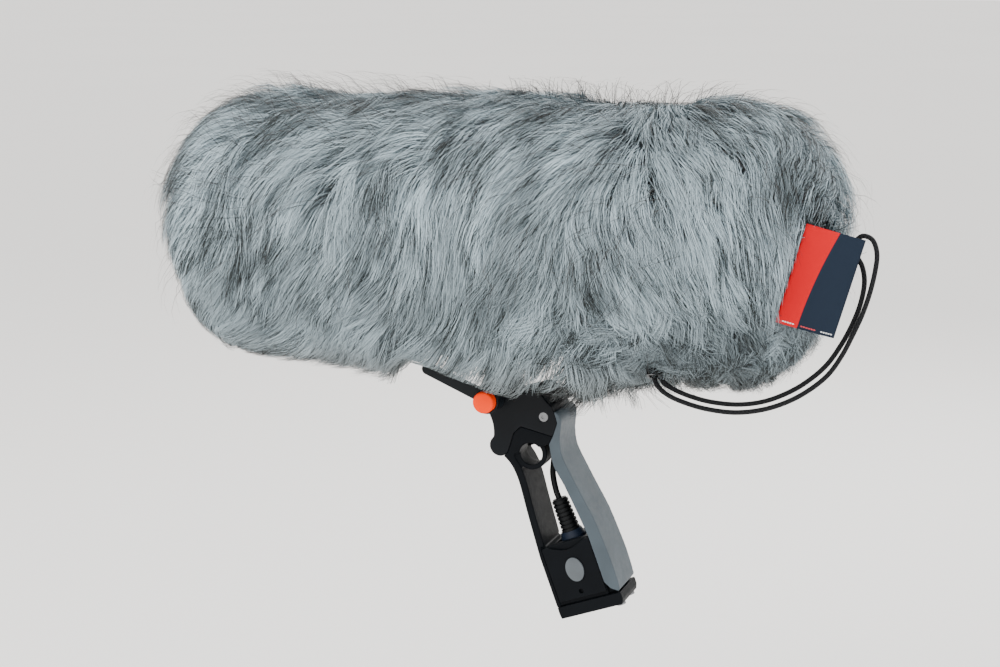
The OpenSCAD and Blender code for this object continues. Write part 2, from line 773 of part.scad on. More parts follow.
// Springy W-shaped arms with an open clip for the microphone
module lyre(x) {
    arm = through([
        [0, carriage_z1 + clip_t / 2], [12, carriage_z1 + clip_t / 2],
        [21, carriage_z1 + 6], [26, axis_rise - 8], [25, axis_rise + 5], [20, axis_rise + 9],
        [15.5, axis_rise + 4], [mic_r + clip_t / 2, axis_rise - 2]
    ], 5);
    translate([x, 0, 0])
        rotate([0, 0, 90])
            for (side = [0, 1])
                mirror([side, 0, 0])
                    difference() {
                        union() {
                            slab(strip(arm, clip_t), clip_l);
                            difference() {
                                pin_y(0, axis_rise, mic_r + clip_t, -clip_l / 2, clip_l / 2);
                                block([-30, -clip_l, axis_rise - 30], [0, clip_l, axis_rise + 30]);
                                slab([[0, axis_rise], [20, axis_rise + 24], [0, axis_rise + 24]],
                                    clip_l + 2);
                            }
                        }
                        pin_y(0, axis_rise, mic_r, -clip_l, clip_l);
                        block([-30, -clip_l, carriage_z1 - 5], [30, clip_l, carriage_z1]);
                    }
}

module front_carriage() color(BLACK) on_pivot() carriage(-clip_x);
module front_lyre() color([0.1, 0.1, 0.11]) on_pivot() lyre(-clip_x);
module rear_carriage() color(BLACK) on_pivot() carriage(clip_x);
module rear_lyre() color([0.1, 0.1, 0.11]) on_pivot() lyre(clip_x);

// ---- Basket ----

// Half outline of a pod with a rounded end, as (x, radius), for a wall from r - t to r
function pod(x0, x1, r, t) =
    let (s = sign(x1 - x0), c = [x1 - s * dome_r, r - dome_r], q = dome_r - t)
    concat(
        [[x0, r]],
        [for (k = [0:12]) c + dome_r * [s * sin(7.5 * k), cos(7.5 * k)]],
        [[x1, 0], [x1 - s * t, 0]],
        [for (k = [12:-1:0]) c + q * [s * sin(7.5 * k), cos(7.5 * k)]],
        [[x0, r - t]]);

// Windows between the ribs of a moulded cage
module cage_windows(x0, x1, columns, rows) {
    step = (x1 - x0) / columns;
    for (i = [0:columns - 1], k = [0:rows - 1])
        translate([0, 0, axis_rise])
            rotate([(k + 0.5) * 360 / rows, 0, 0])
                block([x0 + step * i + 3, -sin(180 / rows) * basket_r + 2.5, 8],
                    [x0 + step * (i + 1) - 3, sin(180 / rows) * basket_r - 2.5, basket_r + 5]);
}

module centre_slot() {
    block([-neck_x - gap, -neck_y - gap, 0], [neck_x + gap, neck_y + gap, rail_z + 1]);
    translate([lead_x, lead_y, 0])
        cylinder(h = rail_top, r = grommet_r);
}

module basket_centre() color(BLACK) on_pivot() difference() {
    union() {
        difference() {
            turned([[-centre_x, inner_r], [centre_x, inner_r], [centre_x, rib_r],
                [-centre_x, rib_r]]);
            difference() {
                cage_windows(-centre_x + 3, centre_x - 3, 3, 8);
                block([-pad_x - 3, -pad_y - 5, 0], [pad_x + 3, pad_y + 5, axis_rise - 20]);
            }
        }
        // pad that carries the rail
        difference() {
            block([-pad_x, -pad_y, axis_rise - rib_r + 0.5], [pad_x, pad_y, rail_z]);
            difference() {
                pin_x(-pad_x - 1, pad_x + 1, basket_r + 20, axis_rise);
                pin_x(-pad_x - 2, pad_x + 2, rib_r, axis_rise);
            }
        }
    }
    centre_slot();
}

module basket_front() color(BLACK) on_pivot() difference() {
    turned(pod(-centre_x - ring_w, front_x + net_t, rib_r, rib_t));
    cage_windows(front_x + dome_r - 6, -centre_x - ring_w - 4, 2, 8);
}

module basket_rear() color(BLACK) on_pivot() difference() {
    turned(pod(centre_x + ring_w, rear_x - net_t, rib_r, rib_t));
    cage_windows(centre_x + ring_w + 4, rear_x - dome_r + 6, 2, 8);
}

module netting_centre() color(DARK) on_pivot() difference() {
    turned([[-centre_x, rib_r], [centre_x, rib_r], [centre_x, basket_r], [-centre_x, basket_r]]);
    centre_slot();
}

module netting_pod(x0, x1) turned(pod(x0, x1, basket_r, net_t));

module netting_front() color(DARK) on_pivot() netting_pod(-centre_x - ring_w, front_x);
module netting_rear() color(DARK) on_pivot() netting_pod(centre_x + ring_w, rear_x);

module lock_ring(x0) turned([[x0, inner_r], [x0 + ring_w, inner_r],
    [x0 + ring_w, basket_r + 0.6], [x0, basket_r + 0.6]]);

module lock_ring_front() color(BLACK) on_pivot() lock_ring(-centre_x - ring_w);
module lock_ring_rear() color(BLACK) on_pivot() lock_ring(centre_x);

// ---- Fur cover ----

// End panel of the cover: solid pile between the basket and the rounded outside
function fur_end(x0, x1, end_in) =
    let (s = sign(x1 - x0), c = [x1 - s * end_r, fur_r - end_r],
        b = [end_in - s * dome_r, basket_r - dome_r], q = dome_r + 2)
    concat(
        [[x0, fur_r]],
        [for (k = [0:15]) c + end_r * [s * sin(6 * k), cos(6 * k)]],
        [[x1, 0], [end_in + s * 2, 0]],
        [for (k = [12:-1:0]) b + q * [s * sin(7.5 * k), cos(7.5 * k)]],
        [[x0, fur_in]]);

module on_eyelet() {
    translate([eyelet_x, 0, axis_rise])
        rotate([180 - eyelet_turn, 0, 0])
            children();
}

module fur_sleeve() color(FUR) on_pivot() difference() {
    turned([[seam_front, fur_in], [seam_rear, fur_in], [seam_rear, fur_r], [seam_front, fur_r]]);
    block([-hollow_x, -hollow_y, 0], [hollow_x, hollow_y, hollow_rise]);
    block([hem_x0 - hem_t, -hem_y - hem_t, 0], [hem_x1 + hem_t, hem_y + hem_t, axis_rise - 20]);
    on_eyelet()
        translate([0, 0, fur_r - eyelet_l / 2])
            cylinder(h = eyelet_l, r = eyelet_r);
}

module fur_front() color(FUR) on_pivot() turned(fur_end(seam_front, fur_x0, front_x));
module fur_rear() color(FUR) on_pivot() turned(fur_end(seam_rear, fur_x1, rear_x));

// Bound edge of the opening for the stem
module hem_binding() color(BLACK) on_pivot() difference() {
    block([hem_x0 - hem_t, -hem_y - hem_t, hollow_rise + 0.5],
        [hem_x1 + hem_t, hem_y + hem_t, axis_rise - fur_in]);
    block([hem_x0, -hem_y, 0], [hem_x1, hem_y, axis_rise]);
}

module cord_eyelet() color(BLACK) on_pivot() on_eyelet()
    translate([0, 0, fur_r - eyelet_l / 2]) difference() {
        cylinder(h = eyelet_l, r = eyelet_r);
        translate([0, 0, 1])
            cylinder(h = eyelet_l, r = eyelet_bore);
    }

module drawcord() color(BLACK) on_pivot()
    translate([0, 0, axis_rise])
        tube(through(cord_points, 2), cord_r);

module label() color([0.75, 0.1, 0.12]) on_pivot()
    translate(label_at)
        rotate([0, 0, label_turn])
            rotate([0, label_lean, 0])
                cube([label_w, label_t, label_h], center = true);

grip_frame();
soft_grip();
side_plate_near();
side_plate_far();
badge_near();
badge_far();
base_cap();
base_screws();
pole_insert();
xlr_shell();
xlr_insert();
xlr_pins();
plug_body();
plug_collar();
plug_boot();
lead_lower();
head();
head_screw();
clamp_bolt();
clamp_nut();
friction_washers();
lever();
lever_button();
button_spring();
stem();
stem_gasket();
rail();
rail_screws();
lead_grommet();
lead_upper();
mic_plug();
mic_plug_boot();
front_carriage();
front_lyre();
rear_carriage();
rear_lyre();
basket_centre();
basket_front();
basket_rear();
netting_centre();
netting_front();
netting_rear();
lock_ring_front();
lock_ring_rear();
fur_sleeve();
fur_front();
fur_rear();
hem_binding();
cord_eyelet();
drawcord();
label();
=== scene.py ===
"""Looks of the furry windscreen: fur cover, drawcord, label, lead and the finish of every part."""
import json
import math

import bmesh
import bpy
import numpy as np
from mathutils import Matrix, Vector, kdtree


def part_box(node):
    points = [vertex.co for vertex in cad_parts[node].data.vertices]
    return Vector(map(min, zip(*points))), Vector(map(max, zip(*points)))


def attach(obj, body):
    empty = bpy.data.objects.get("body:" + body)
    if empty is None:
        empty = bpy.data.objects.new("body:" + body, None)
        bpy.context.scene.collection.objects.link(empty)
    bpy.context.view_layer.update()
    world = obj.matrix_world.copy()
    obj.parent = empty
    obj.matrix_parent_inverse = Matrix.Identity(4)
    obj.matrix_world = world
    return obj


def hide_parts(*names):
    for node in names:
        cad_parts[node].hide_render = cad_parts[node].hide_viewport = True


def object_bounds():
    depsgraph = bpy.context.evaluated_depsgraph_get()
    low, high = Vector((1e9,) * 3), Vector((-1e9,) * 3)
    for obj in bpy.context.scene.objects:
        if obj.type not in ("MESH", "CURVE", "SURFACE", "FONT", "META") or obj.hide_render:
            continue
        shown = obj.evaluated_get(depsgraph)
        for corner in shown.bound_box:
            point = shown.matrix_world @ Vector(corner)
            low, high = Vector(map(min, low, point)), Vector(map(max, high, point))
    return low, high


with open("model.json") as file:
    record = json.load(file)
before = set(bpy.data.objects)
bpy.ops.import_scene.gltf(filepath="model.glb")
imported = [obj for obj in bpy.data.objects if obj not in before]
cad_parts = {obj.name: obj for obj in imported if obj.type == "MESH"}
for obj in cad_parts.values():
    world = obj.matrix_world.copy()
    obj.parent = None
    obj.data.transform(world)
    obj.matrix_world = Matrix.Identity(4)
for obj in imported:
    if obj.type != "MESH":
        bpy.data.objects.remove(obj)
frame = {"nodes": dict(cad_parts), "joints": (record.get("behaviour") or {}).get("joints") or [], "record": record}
NODES = frame["nodes"]
CAD_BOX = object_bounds()
MM = 0.001

# ---------------------------------------------------------------- places from the frame

SLEEVE_LOW, SLEEVE_HIGH = (np.array(c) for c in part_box("fur_sleeve"))
FRONT_LOW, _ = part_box("fur_front")
_, REAR_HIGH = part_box("fur_rear")
TILT = next(j for j in frame["joints"] if j["name"] == "tilt")
PIVOT = np.array(TILT["pos_m"])

FUR_R = (SLEEVE_HIGH[1] - SLEEVE_LOW[1]) / 2
AXIS_Z = SLEEVE_HIGH[2] - FUR_R
FUR_X0 = FRONT_LOW[0]
FUR_X1 = REAR_HIGH[0]


# ---------------------------------------------------------------- small helpers

def into_scene(name, data):
    """A new object, linked to the scene."""
    obj = bpy.data.objects.new(name, data)
    bpy.context.scene.collection.objects.link(obj)
    return obj


def mesh_object(name, verts, faces, body):
    """A smooth mesh piece that rides on a body."""
    mesh = bpy.data.meshes.new(name)
    mesh.from_pydata([tuple(v) for v in verts], [], [tuple(f) for f in faces])
    mesh.validate()
    mesh.shade_smooth()
    obj = into_scene(name, mesh)
    if body:
        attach(obj, body)
    return obj


def smooth_path(points, steps):
    """Catmull-Rom curve through the points."""
    p = [np.array(q, float) for q in points]
    out = []
    for i in range(len(p) - 1):
        a, b, c, d = p[max(i - 1, 0)], p[i], p[i + 1], p[min(i + 2, len(p) - 1)]
        for k in range(steps):
            t = k / steps
            out.append(0.5 * (2 * b + (c - a) * t + (2 * a - 5 * b + 4 * c - d) * t * t
                              + (3 * b - a - 3 * c + d) * t ** 3))
    out.append(p[-1])
    return np.array(out)


def tube(name, path, radius, body, sides=12):
    """Round tube along a path, with a UV map in metres: u along it, v round it."""
    path = np.asarray(path, float)
    tangent = np.gradient(path, axis=0)
    tangent /= np.linalg.norm(tangent, axis=1)[:, None]
    side = np.cross(tangent[0], [0.3, 1, 0.2])      # any direction off the path will do
    side /= np.linalg.norm(side)
    verts = []
    for point, along in zip(path, tangent):
        side = side - along * np.dot(side, along)
        side /= np.linalg.norm(side)
        other = np.cross(along, side)
        for k in range(sides):
            a = 2 * math.pi * k / sides
            verts.append(point + radius * (math.cos(a) * side + math.sin(a) * other))
    faces = []
    n = len(path)
    for i in range(n - 1):
        for k in range(sides):
            j = (k + 1) % sides
            faces.append((i * sides + k, i * sides + j, (i + 1) * sides + j, (i + 1) * sides + k))
    faces.append(tuple(range(sides - 1, -1, -1)))
    faces.append(tuple((n - 1) * sides + k for k in range(sides)))
    obj = mesh_object(name, verts, faces, body)
    length = np.concatenate([[0], np.cumsum(np.linalg.norm(np.diff(path, axis=0), axis=1))])
    uv = obj.data.uv_layers.new(name="along")
    turn = 2 * math.pi * radius
    for poly in obj.data.polygons:
        for loop in poly.loop_indices:
            v = obj.data.loops[loop].vertex_index
            row, k = divmod(v, sides)
            around = k / sides
            if k == 0 and any(obj.data.loops[m].vertex_index % sides == sides - 1
                              for m in poly.loop_indices):
                around = 1.0
            uv.data[loop].uv = (length[row], around * turn)
    return obj


# ---------------------------------------------------------------- materials

# fineness of the noise in each pattern, in cells to the metre
MOTTLING = 60
GLOSS_PATCHES = 240
METAL_TONE = 400
METAL_SCRATCHES = 1500
METAL_GRAIN = 5000


def new_material(name):
    """An empty material: its node tree and its shader."""
    mat = bpy.data.materials.new(name)
    mat.use_nodes = True
    tree = mat.node_tree
    tree.nodes.clear()
    out = tree.nodes.new("ShaderNodeOutputMaterial")
    shader = tree.nodes.new("ShaderNodeBsdfPrincipled")
    tree.links.new(shader.outputs[0], out.inputs[0])
    return mat, tree, shader


def noise(tree, scale, detail=3, rough=0.5):
    """Noise in the piece's own coordinates."""
    node = tree.nodes.new("ShaderNodeTexNoise")
    node.inputs["Scale"].default_value = scale
    node.inputs["Detail"].default_value = detail
    node.inputs["Roughness"].default_value = rough
    coords = tree.nodes.new("ShaderNodeTexCoord")
    tree.links.new(coords.outputs["Object"], node.inputs["Vector"])
    return node.outputs[0]


def ramp(tree, value, stops):
    """Colour ramp through (place, colour) stops."""
    node = tree.nodes.new("ShaderNodeValToRGB")
    tree.links.new(value, node.inputs[0])
    ends = node.color_ramp.elements
    while len(ends) < len(stops):
        ends.new(0.5)
    for end, (place, colour) in zip(ends, stops):
        end.position = place
        end.color = (*colour, 1)
    return node.outputs[0]


def maths(tree, operation, a, b=None, clamp=False):
    """Math node on sockets or plain numbers."""
    node = tree.nodes.new("ShaderNodeMath")
    node.operation = operation
    node.use_clamp = clamp
    for socket, value in zip(node.inputs, (a, b)):
        if value is None:
            continue
        if isinstance(value, (int, float)):
            socket.default_value = value
        else:
            tree.links.new(value, socket)
    return node.outputs[0]


def bump(tree, shader, height, distance, strength=1.0):
    """Relief on the shader from a height, over a distance in metres."""
    node = tree.nodes.new("ShaderNodeBump")
    node.inputs["Distance"].default_value = distance
    node.inputs["Strength"].default_value = strength
    tree.links.new(height, node.inputs["Height"])
    tree.links.new(node.outputs[0], shader.inputs["Normal"])


def tinted(colour, factor):
    """A colour made darker or lighter, up to white."""
    return tuple(min(1.0, c * factor) for c in colour)


def moulded(name, colour, roughness, grain=9000, depth=0.00004, spread=0.12, gleam=0.3):
    """Moulded plastic or rubber: fine grain, faint mottling and a little wear in the gloss."""
    mat, tree, shader = new_material(name)
    soft = noise(tree, MOTTLING, 3)
    tree.links.new(ramp(tree, soft, [(0.3, tinted(colour, 1 - spread)),
                                     (0.7, tinted(colour, 1 + spread))]),
                   shader.inputs["Base Color"])
    gloss = noise(tree, GLOSS_PATCHES, 4, 0.6)
    tree.links.new(ramp(tree, gloss, [(0.3, (roughness * 0.85,) * 3),
                                      (0.75, (min(1, roughness * 1.15),) * 3)]),
                   shader.inputs["Roughness"])
    bump(tree, shader, noise(tree, grain, 2), depth)
    shader.inputs["Specular IOR Level"].default_value = gleam
    return mat


def metal(name, colour, roughness):
    """Turned or drawn metal with fine scratches."""
    mat, tree, shader = new_material(name)
    shader.inputs["Metallic"].default_value = 1.0
    tone = noise(tree, METAL_TONE, 4)
    tree.links.new(ramp(tree, tone, [(0.3, tinted(colour, 0.88)), (0.7, colour)]),
                   shader.inputs["Base Color"])
    scratches = noise(tree, METAL_SCRATCHES, 3)
    tree.links.new(ramp(tree, scratches, [(0.3, (roughness * 0.7,) * 3),
                                          (0.7, (roughness * 1.3,) * 3)]),
                   shader.inputs["Roughness"])
    bump(tree, shader, noise(tree, METAL_GRAIN, 2), 0.00002)
    return mat


def braid(name, colour, pitch, sheen=0.3):
    """Braided cord: two sets of strands crossing, from the tube's own UV map."""
    mat, tree, shader = new_material(name)
    uv = tree.nodes.new("ShaderNodeUVMap")
    uv.uv_map = "along"
    split = tree.nodes.new("ShaderNodeSeparateXYZ")
    tree.links.new(uv.outputs[0], split.inputs[0])
    wave = 2 * math.pi / pitch
    along, around = split.outputs[0], split.outputs[1]
    total = maths(tree, "ADD", along, around)
    left = maths(tree, "SINE", maths(tree, "MULTIPLY", total, wave))
    difference = maths(tree, "SUBTRACT", along, around)
    right = maths(tree, "SINE", maths(tree, "MULTIPLY", difference, wave))
    height = maths(tree, "MAXIMUM", left, right)
    # painted highlight on the strands' crowns and painted shade in the gaps between them
    tree.links.new(ramp(tree, height, [(0.0, tinted(colour, 0.35)), (0.9, tinted(colour, 1.5))]),
                   shader.inputs["Base Color"])
    shader.inputs["Roughness"].default_value = 0.6
    shader.inputs["Specular IOR Level"].default_value = 0.2
    shader.inputs["Sheen Weight"].default_value = sheen
    bump(tree, shader, height, 0.0004)
    return mat


def woven(name, colour, thread, sheen=0.2):
    """Plain weave in the piece's own coordinates."""
    mat, tree, shader = new_material(name)
    coords = tree.nodes.new("ShaderNodeTexCoord")
    bands = []
    for direction in ("X", "Z"):
        wave = tree.nodes.new("ShaderNodeTexWave")
        wave.bands_direction = direction
        wave.inputs["Scale"].default_value = 1 / thread / 2
        wave.inputs["Distortion"].default_value = 0.4
        tree.links.new(coords.outputs["Object"], wave.inputs["Vector"])
        bands.append(wave.outputs["Fac"])
    cross = maths(tree, "MAXIMUM", *bands)
    # painted shade: darker where the weave dips between the threads
    tree.links.new(ramp(tree, cross, [(0.1, tinted(colour, 0.55)), (0.8, colour)]),
                   shader.inputs["Base Color"])
    shader.inputs["Roughness"].default_value = 0.85
    shader.inputs["Sheen Weight"].default_value = sheen
    bump(tree, shader, cross, thread * 0.3, 0.6)
    return mat


MATERIALS = {
    "black_plastic": moulded("black_plastic", (0.0030, 0.0038, 0.0050), 0.45, gleam=0.05),
    "soft_grip": moulded("soft_grip", (0.043, 0.058, 0.070), 0.5, grain=5000, depth=0.00006,
                         gleam=0.28),
    "badge_grey": moulded("badge_grey", (0.075, 0.086, 0.095), 0.45, gleam=0.2),
    "steel": metal("steel", (0.20, 0.205, 0.215), 0.32),
    "gold_pins": metal("gold_pins", (0.85, 0.62, 0.25), 0.22),
    "insulator": moulded("insulator", (0.004, 0.004, 0.005), 0.6, gleam=0.1),
    "plug_metal": moulded("plug_metal", (0.006, 0.009, 0.015), 0.35, gleam=0.2),
    "plug_blue": moulded("plug_blue", (0.007, 0.012, 0.024), 0.42, gleam=0.15),
    "boot_rubber": moulded("boot_rubber", (0.0035, 0.0042, 0.0052), 0.5, gleam=0.16),
    "cable": moulded("cable", (0.0035, 0.0042, 0.0052), 0.45, gleam=0.18),
    "head_black": moulded("head_black", (0.0026, 0.0036, 0.0050), 0.34, gleam=0.11),
    "friction_fibre": moulded("friction_fibre", (0.3, 0.22, 0.14), 0.8),
    "lever_black": moulded("lever_black", (0.0045, 0.0065, 0.0085), 0.42, gleam=0.14),
    "button_orange": moulded("button_orange", (0.88, 0.040, 0.0), 0.45, spread=0.04, gleam=0.02),
    "stem_plastic": moulded("stem_plastic", (0.003, 0.003, 0.0035), 0.5, gleam=0.08),
    "rail_metal": metal("rail_metal", (0.55, 0.56, 0.58), 0.4),
    "lyre_plastic": moulded("lyre_plastic", (0.010, 0.010, 0.012), 0.45),
    "basket_plastic": moulded("basket_plastic", (0.008, 0.008, 0.009), 0.55, gleam=0.15),
    "netting": woven("netting", (0.03, 0.033, 0.036), 0.0008),
    "hem_tape": woven("hem_tape", (0.008, 0.008, 0.009), 0.0006, 0.05),
    "eyelet_black": metal("eyelet_black", (0.015, 0.015, 0.017), 0.35),
    "drawcord": braid("drawcord", (0.0040, 0.0045, 0.0060), 0.0024, 0.0),
}
SLOTS = {s["node"]: s["material_slot"] for s in frame["record"]["subparts"]}
for node_name, obj in NODES.items():
    if SLOTS.get(node_name) in MATERIALS:
        obj.data.materials.clear()
        obj.data.materials.append(MATERIALS[SLOTS[node_name]])


# ---------------------------------------------------------------- camera, light, floor

LOOK_AT = Vector((-0.0552, 0.0, 0.1813))
CAMERA_TURN = math.radians(20)
CAMERA_RISE = math.radians(11.5)
CAMERA_BACK = 1.2
CAMERA_LENS = 66.5
FLOOR_Z = -0.26
FLOOR_REACH = 30
SKY_COLOUR = (1.0, 0.985, 0.965, 1)
SKY_STRENGTH = 1.75
LIGHTS = (
    # name, place, size, power and colour
    ("key", (-0.9, -1.3, 1.5), 1.1, 34, (1.0, 0.985, 0.96)),
    ("fill", (1.5, -1.0, 0.8), 1.2, 14, (0.97, 0.985, 1.0)),
    ("rim", (0.2, 1.6, 1.2), 1.0, 20, (1.0, 1.0, 1.0)),
)


def make_camera():
    """Camera a little to the right of the object's side and a little above it."""
    data = bpy.data.cameras.new("camera")
    data.lens = CAMERA_LENS
    data.sensor_width = 36
    data.dof.use_dof = False
    camera = into_scene("camera", data)
    back = Vector((math.sin(CAMERA_TURN) * math.cos(CAMERA_RISE),
                   -math.cos(CAMERA_TURN) * math.cos(CAMERA_RISE),
                   math.sin(CAMERA_RISE)))
    camera.location = LOOK_AT + back * CAMERA_BACK
    camera.rotation_euler = back.to_track_quat("Z", "Y").to_euler()
    bpy.context.scene.camera = camera


def make_light(name, place, size, power, colour):
    """Round area light that is aimed at the object."""
    data = bpy.data.lights.new(name, "AREA")
    data.shape = "DISK"
    data.size = size
    data.energy = power
    data.color = colour
    light = into_scene(name, data)
    light.location = place
    aim = LOOK_AT - Vector(place)
    light.rotation_euler = aim.to_track_quat("-Z", "Y").to_euler()


def make_stage():
    """Floor, sky and lights round the object."""
    corners = [(x * FLOOR_REACH, y * FLOOR_REACH, FLOOR_Z)
               for x, y in ((-1, -1), (1, -1), (1, 1), (-1, 1))]
    floor = mesh_object("floor", corners, [(0, 1, 2, 3)], None)
    mat, tree, shader = new_material("floor_pale")
    tree.links.new(ramp(tree, noise(tree, 0.6, 1), [(0.3, (0.845, 0.835, 0.82)),
                                                  (0.7, (0.86, 0.85, 0.835))]),
                   shader.inputs["Base Color"])
    shader.inputs["Roughness"].default_value = 0.9
    floor.data.materials.append(mat)
    world = bpy.data.worlds.new("studio")
    world.use_nodes = True
    sky = world.node_tree.nodes["Background"]
    sky.inputs[0].default_value = SKY_COLOUR
    sky.inputs[1].default_value = SKY_STRENGTH
    bpy.context.scene.world = world
    for light in LIGHTS:
        make_light(*light)


make_camera()
make_stage()

# ---------------------------------------------------------------- drawcord

CORD_POINTS = [
    # from the cover's axis above the pivot, in mm: out of the eyelet, round the loop and back
    (113.4, -41.6, -73), (116, -42.5, -79.5), (123, -43, -85), (134, -43, -89), (148, -43, -91.8),
    (164.7, -43, -92.4), (181, -43, -89.4), (195.5, -43, -83.6), (208, -42.5, -75.8),
    (219.3, -42, -65.5), (227, -41.5, -53.5), (233, -41, -40.5), (238, -40.5, -28),
    (241.8, -40, -15), (244.2, -39, -2), (244.6, -37.8, 8), (241.5, -36.6, 15.5),
    (235.5, -35.8, 17.3), (231, -35.2, 12.5), (232, -35, 6), (236, -35.4, -0.5),
    (237.9, -36.6, -10), (236.2, -37.8, -22.5), (232, -38.4, -35), (226, -38.9, -47.5),
    (217.6, -39.4, -60.5), (206, -40, -71.5), (193.8, -40.4, -79.4), (180.2, -40.6, -85.2),
    (165, -40.6, -88), (149, -40.8, -87.6), (136, -41, -85), (125.5, -41.4, -81.2),
    (119.4, -41.6, -77), (117.2, -41.6, -73),
]
CORD_D = 3 * MM


def make_drawcord():
    """Braided loop of cord in place of the drawn one."""
    start = np.array([PIVOT[0], 0, AXIS_Z])
    path = start + smooth_path(np.array(CORD_POINTS) * MM, 6)
    cord = tube("drawcord_braid", path, CORD_D / 2, "windshield", 12)
    cord.data.materials.append(MATERIALS["drawcord"])
    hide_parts("drawcord")


make_drawcord()

# ---------------------------------------------------------------- label

LABEL_W = 36 * MM
LABEL_H = 60 * MM
LABEL_T = 0.9 * MM
LABEL_TURN = math.radians(20)
LABEL_LEAN = math.radians(16)
LABEL_BOW = 1.4                         # mm that the middle stands out
LABEL_CURL = 1.3                        # how far the lower free corner curls back
LABEL_WAVE = 0.5                        # mm of the slow wave over the whole face
LABEL_CELLS = (26, 40)
SPLIT_AT = 0.36                         # share of the width that is red, at the lower edge
SPLIT_LEAN = 0.20                       # how much wider the red gets at the upper edge
SPLIT_SHARP = 160.0
WARP_THREADS = 90
WEFT_THREADS = 150
STITCH_V = 0.032                        # height of the stitches, as a share of the label
STITCH_ROWS = (
    # name, from, to, count and colour, across the label's width
    ("white", 0.09, 0.30, 5, (0.80, 0.80, 0.78)),
    ("red", 0.40, 0.66, 6, (0.62, 0.02, 0.03)),
    ("pale", 0.74, 0.95, 5, (0.72, 0.74, 0.76)),
)


def label_place():
    """Label's own frame: x across its width, -y its face, z up."""
    low, high = (np.array(c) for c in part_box("label"))
    return Matrix.Translation(Vector((low + high) / 2)) @ \
        Matrix.Rotation(LABEL_TURN, 4, "Z") @ Matrix.Rotation(LABEL_LEAN, 4, "Y")


def tape_material():
    """Woven two-colour tape: red towards the seam, slate towards the free edge."""
    mat, tree, shader = new_material("label_tape")
    uv = tree.nodes.new("ShaderNodeUVMap")
    uv.uv_map = "tape"
    split = tree.nodes.new("ShaderNodeSeparateXYZ")
    tree.links.new(uv.outputs[0], split.inputs[0])
    across, up = split.outputs[0], split.outputs[1]
    curve = maths(tree, "MULTIPLY", maths(tree, "POWER", up, 2.0), SPLIT_LEAN)
    edge = maths(tree, "ADD", curve, SPLIT_AT)
    side = maths(tree, "MULTIPLY", maths(tree, "SUBTRACT", across, edge), SPLIT_SHARP)
    side = maths(tree, "ADD", side, 0.5, clamp=True)
    warp = maths(tree, "SINE", maths(tree, "MULTIPLY", across, 2 * math.pi * WARP_THREADS))
    weft = maths(tree, "SINE", maths(tree, "MULTIPLY", up, 2 * math.pi * WEFT_THREADS))
    weave = maths(tree, "MAXIMUM", warp, weft)
    # painted shade: both colours are darker where the weave dips between the threads
    red = ramp(tree, weave, [(0.0, (0.36, 0.001, 0.004)), (1.0, (0.70, 0.004, 0.012))])
    slate = ramp(tree, weave, [(0.0, (0.005, 0.009, 0.017)), (1.0, (0.015, 0.024, 0.042))])
    mix = tree.nodes.new("ShaderNodeMix")
    mix.data_type = "RGBA"
    tree.links.new(side, mix.inputs[0])
    tree.links.new(red, mix.inputs[6])
    tree.links.new(slate, mix.inputs[7])
    tree.links.new(mix.outputs[2], shader.inputs["Base Color"])
    shader.inputs["Roughness"].default_value = 0.7
    shader.inputs["Specular IOR Level"].default_value = 0.1
    bump(tree, shader, weave, 0.00012, 0.5)
    return mat


def label_face(u, v):
    """Depth of the tape's middle at (u, v) from 0 to 1: a soft bow with a curled free edge."""
    bow = LABEL_BOW * math.sin(math.pi * u) * (0.6 + 0.4 * v)
    curl = -LABEL_CURL * max(0.0, u - 0.72) * (1 - v) * 3
    curl = curl + LABEL_WAVE * math.sin(3.1 * v + 1.2 * u)
    return (bow + curl - 0.6) * MM


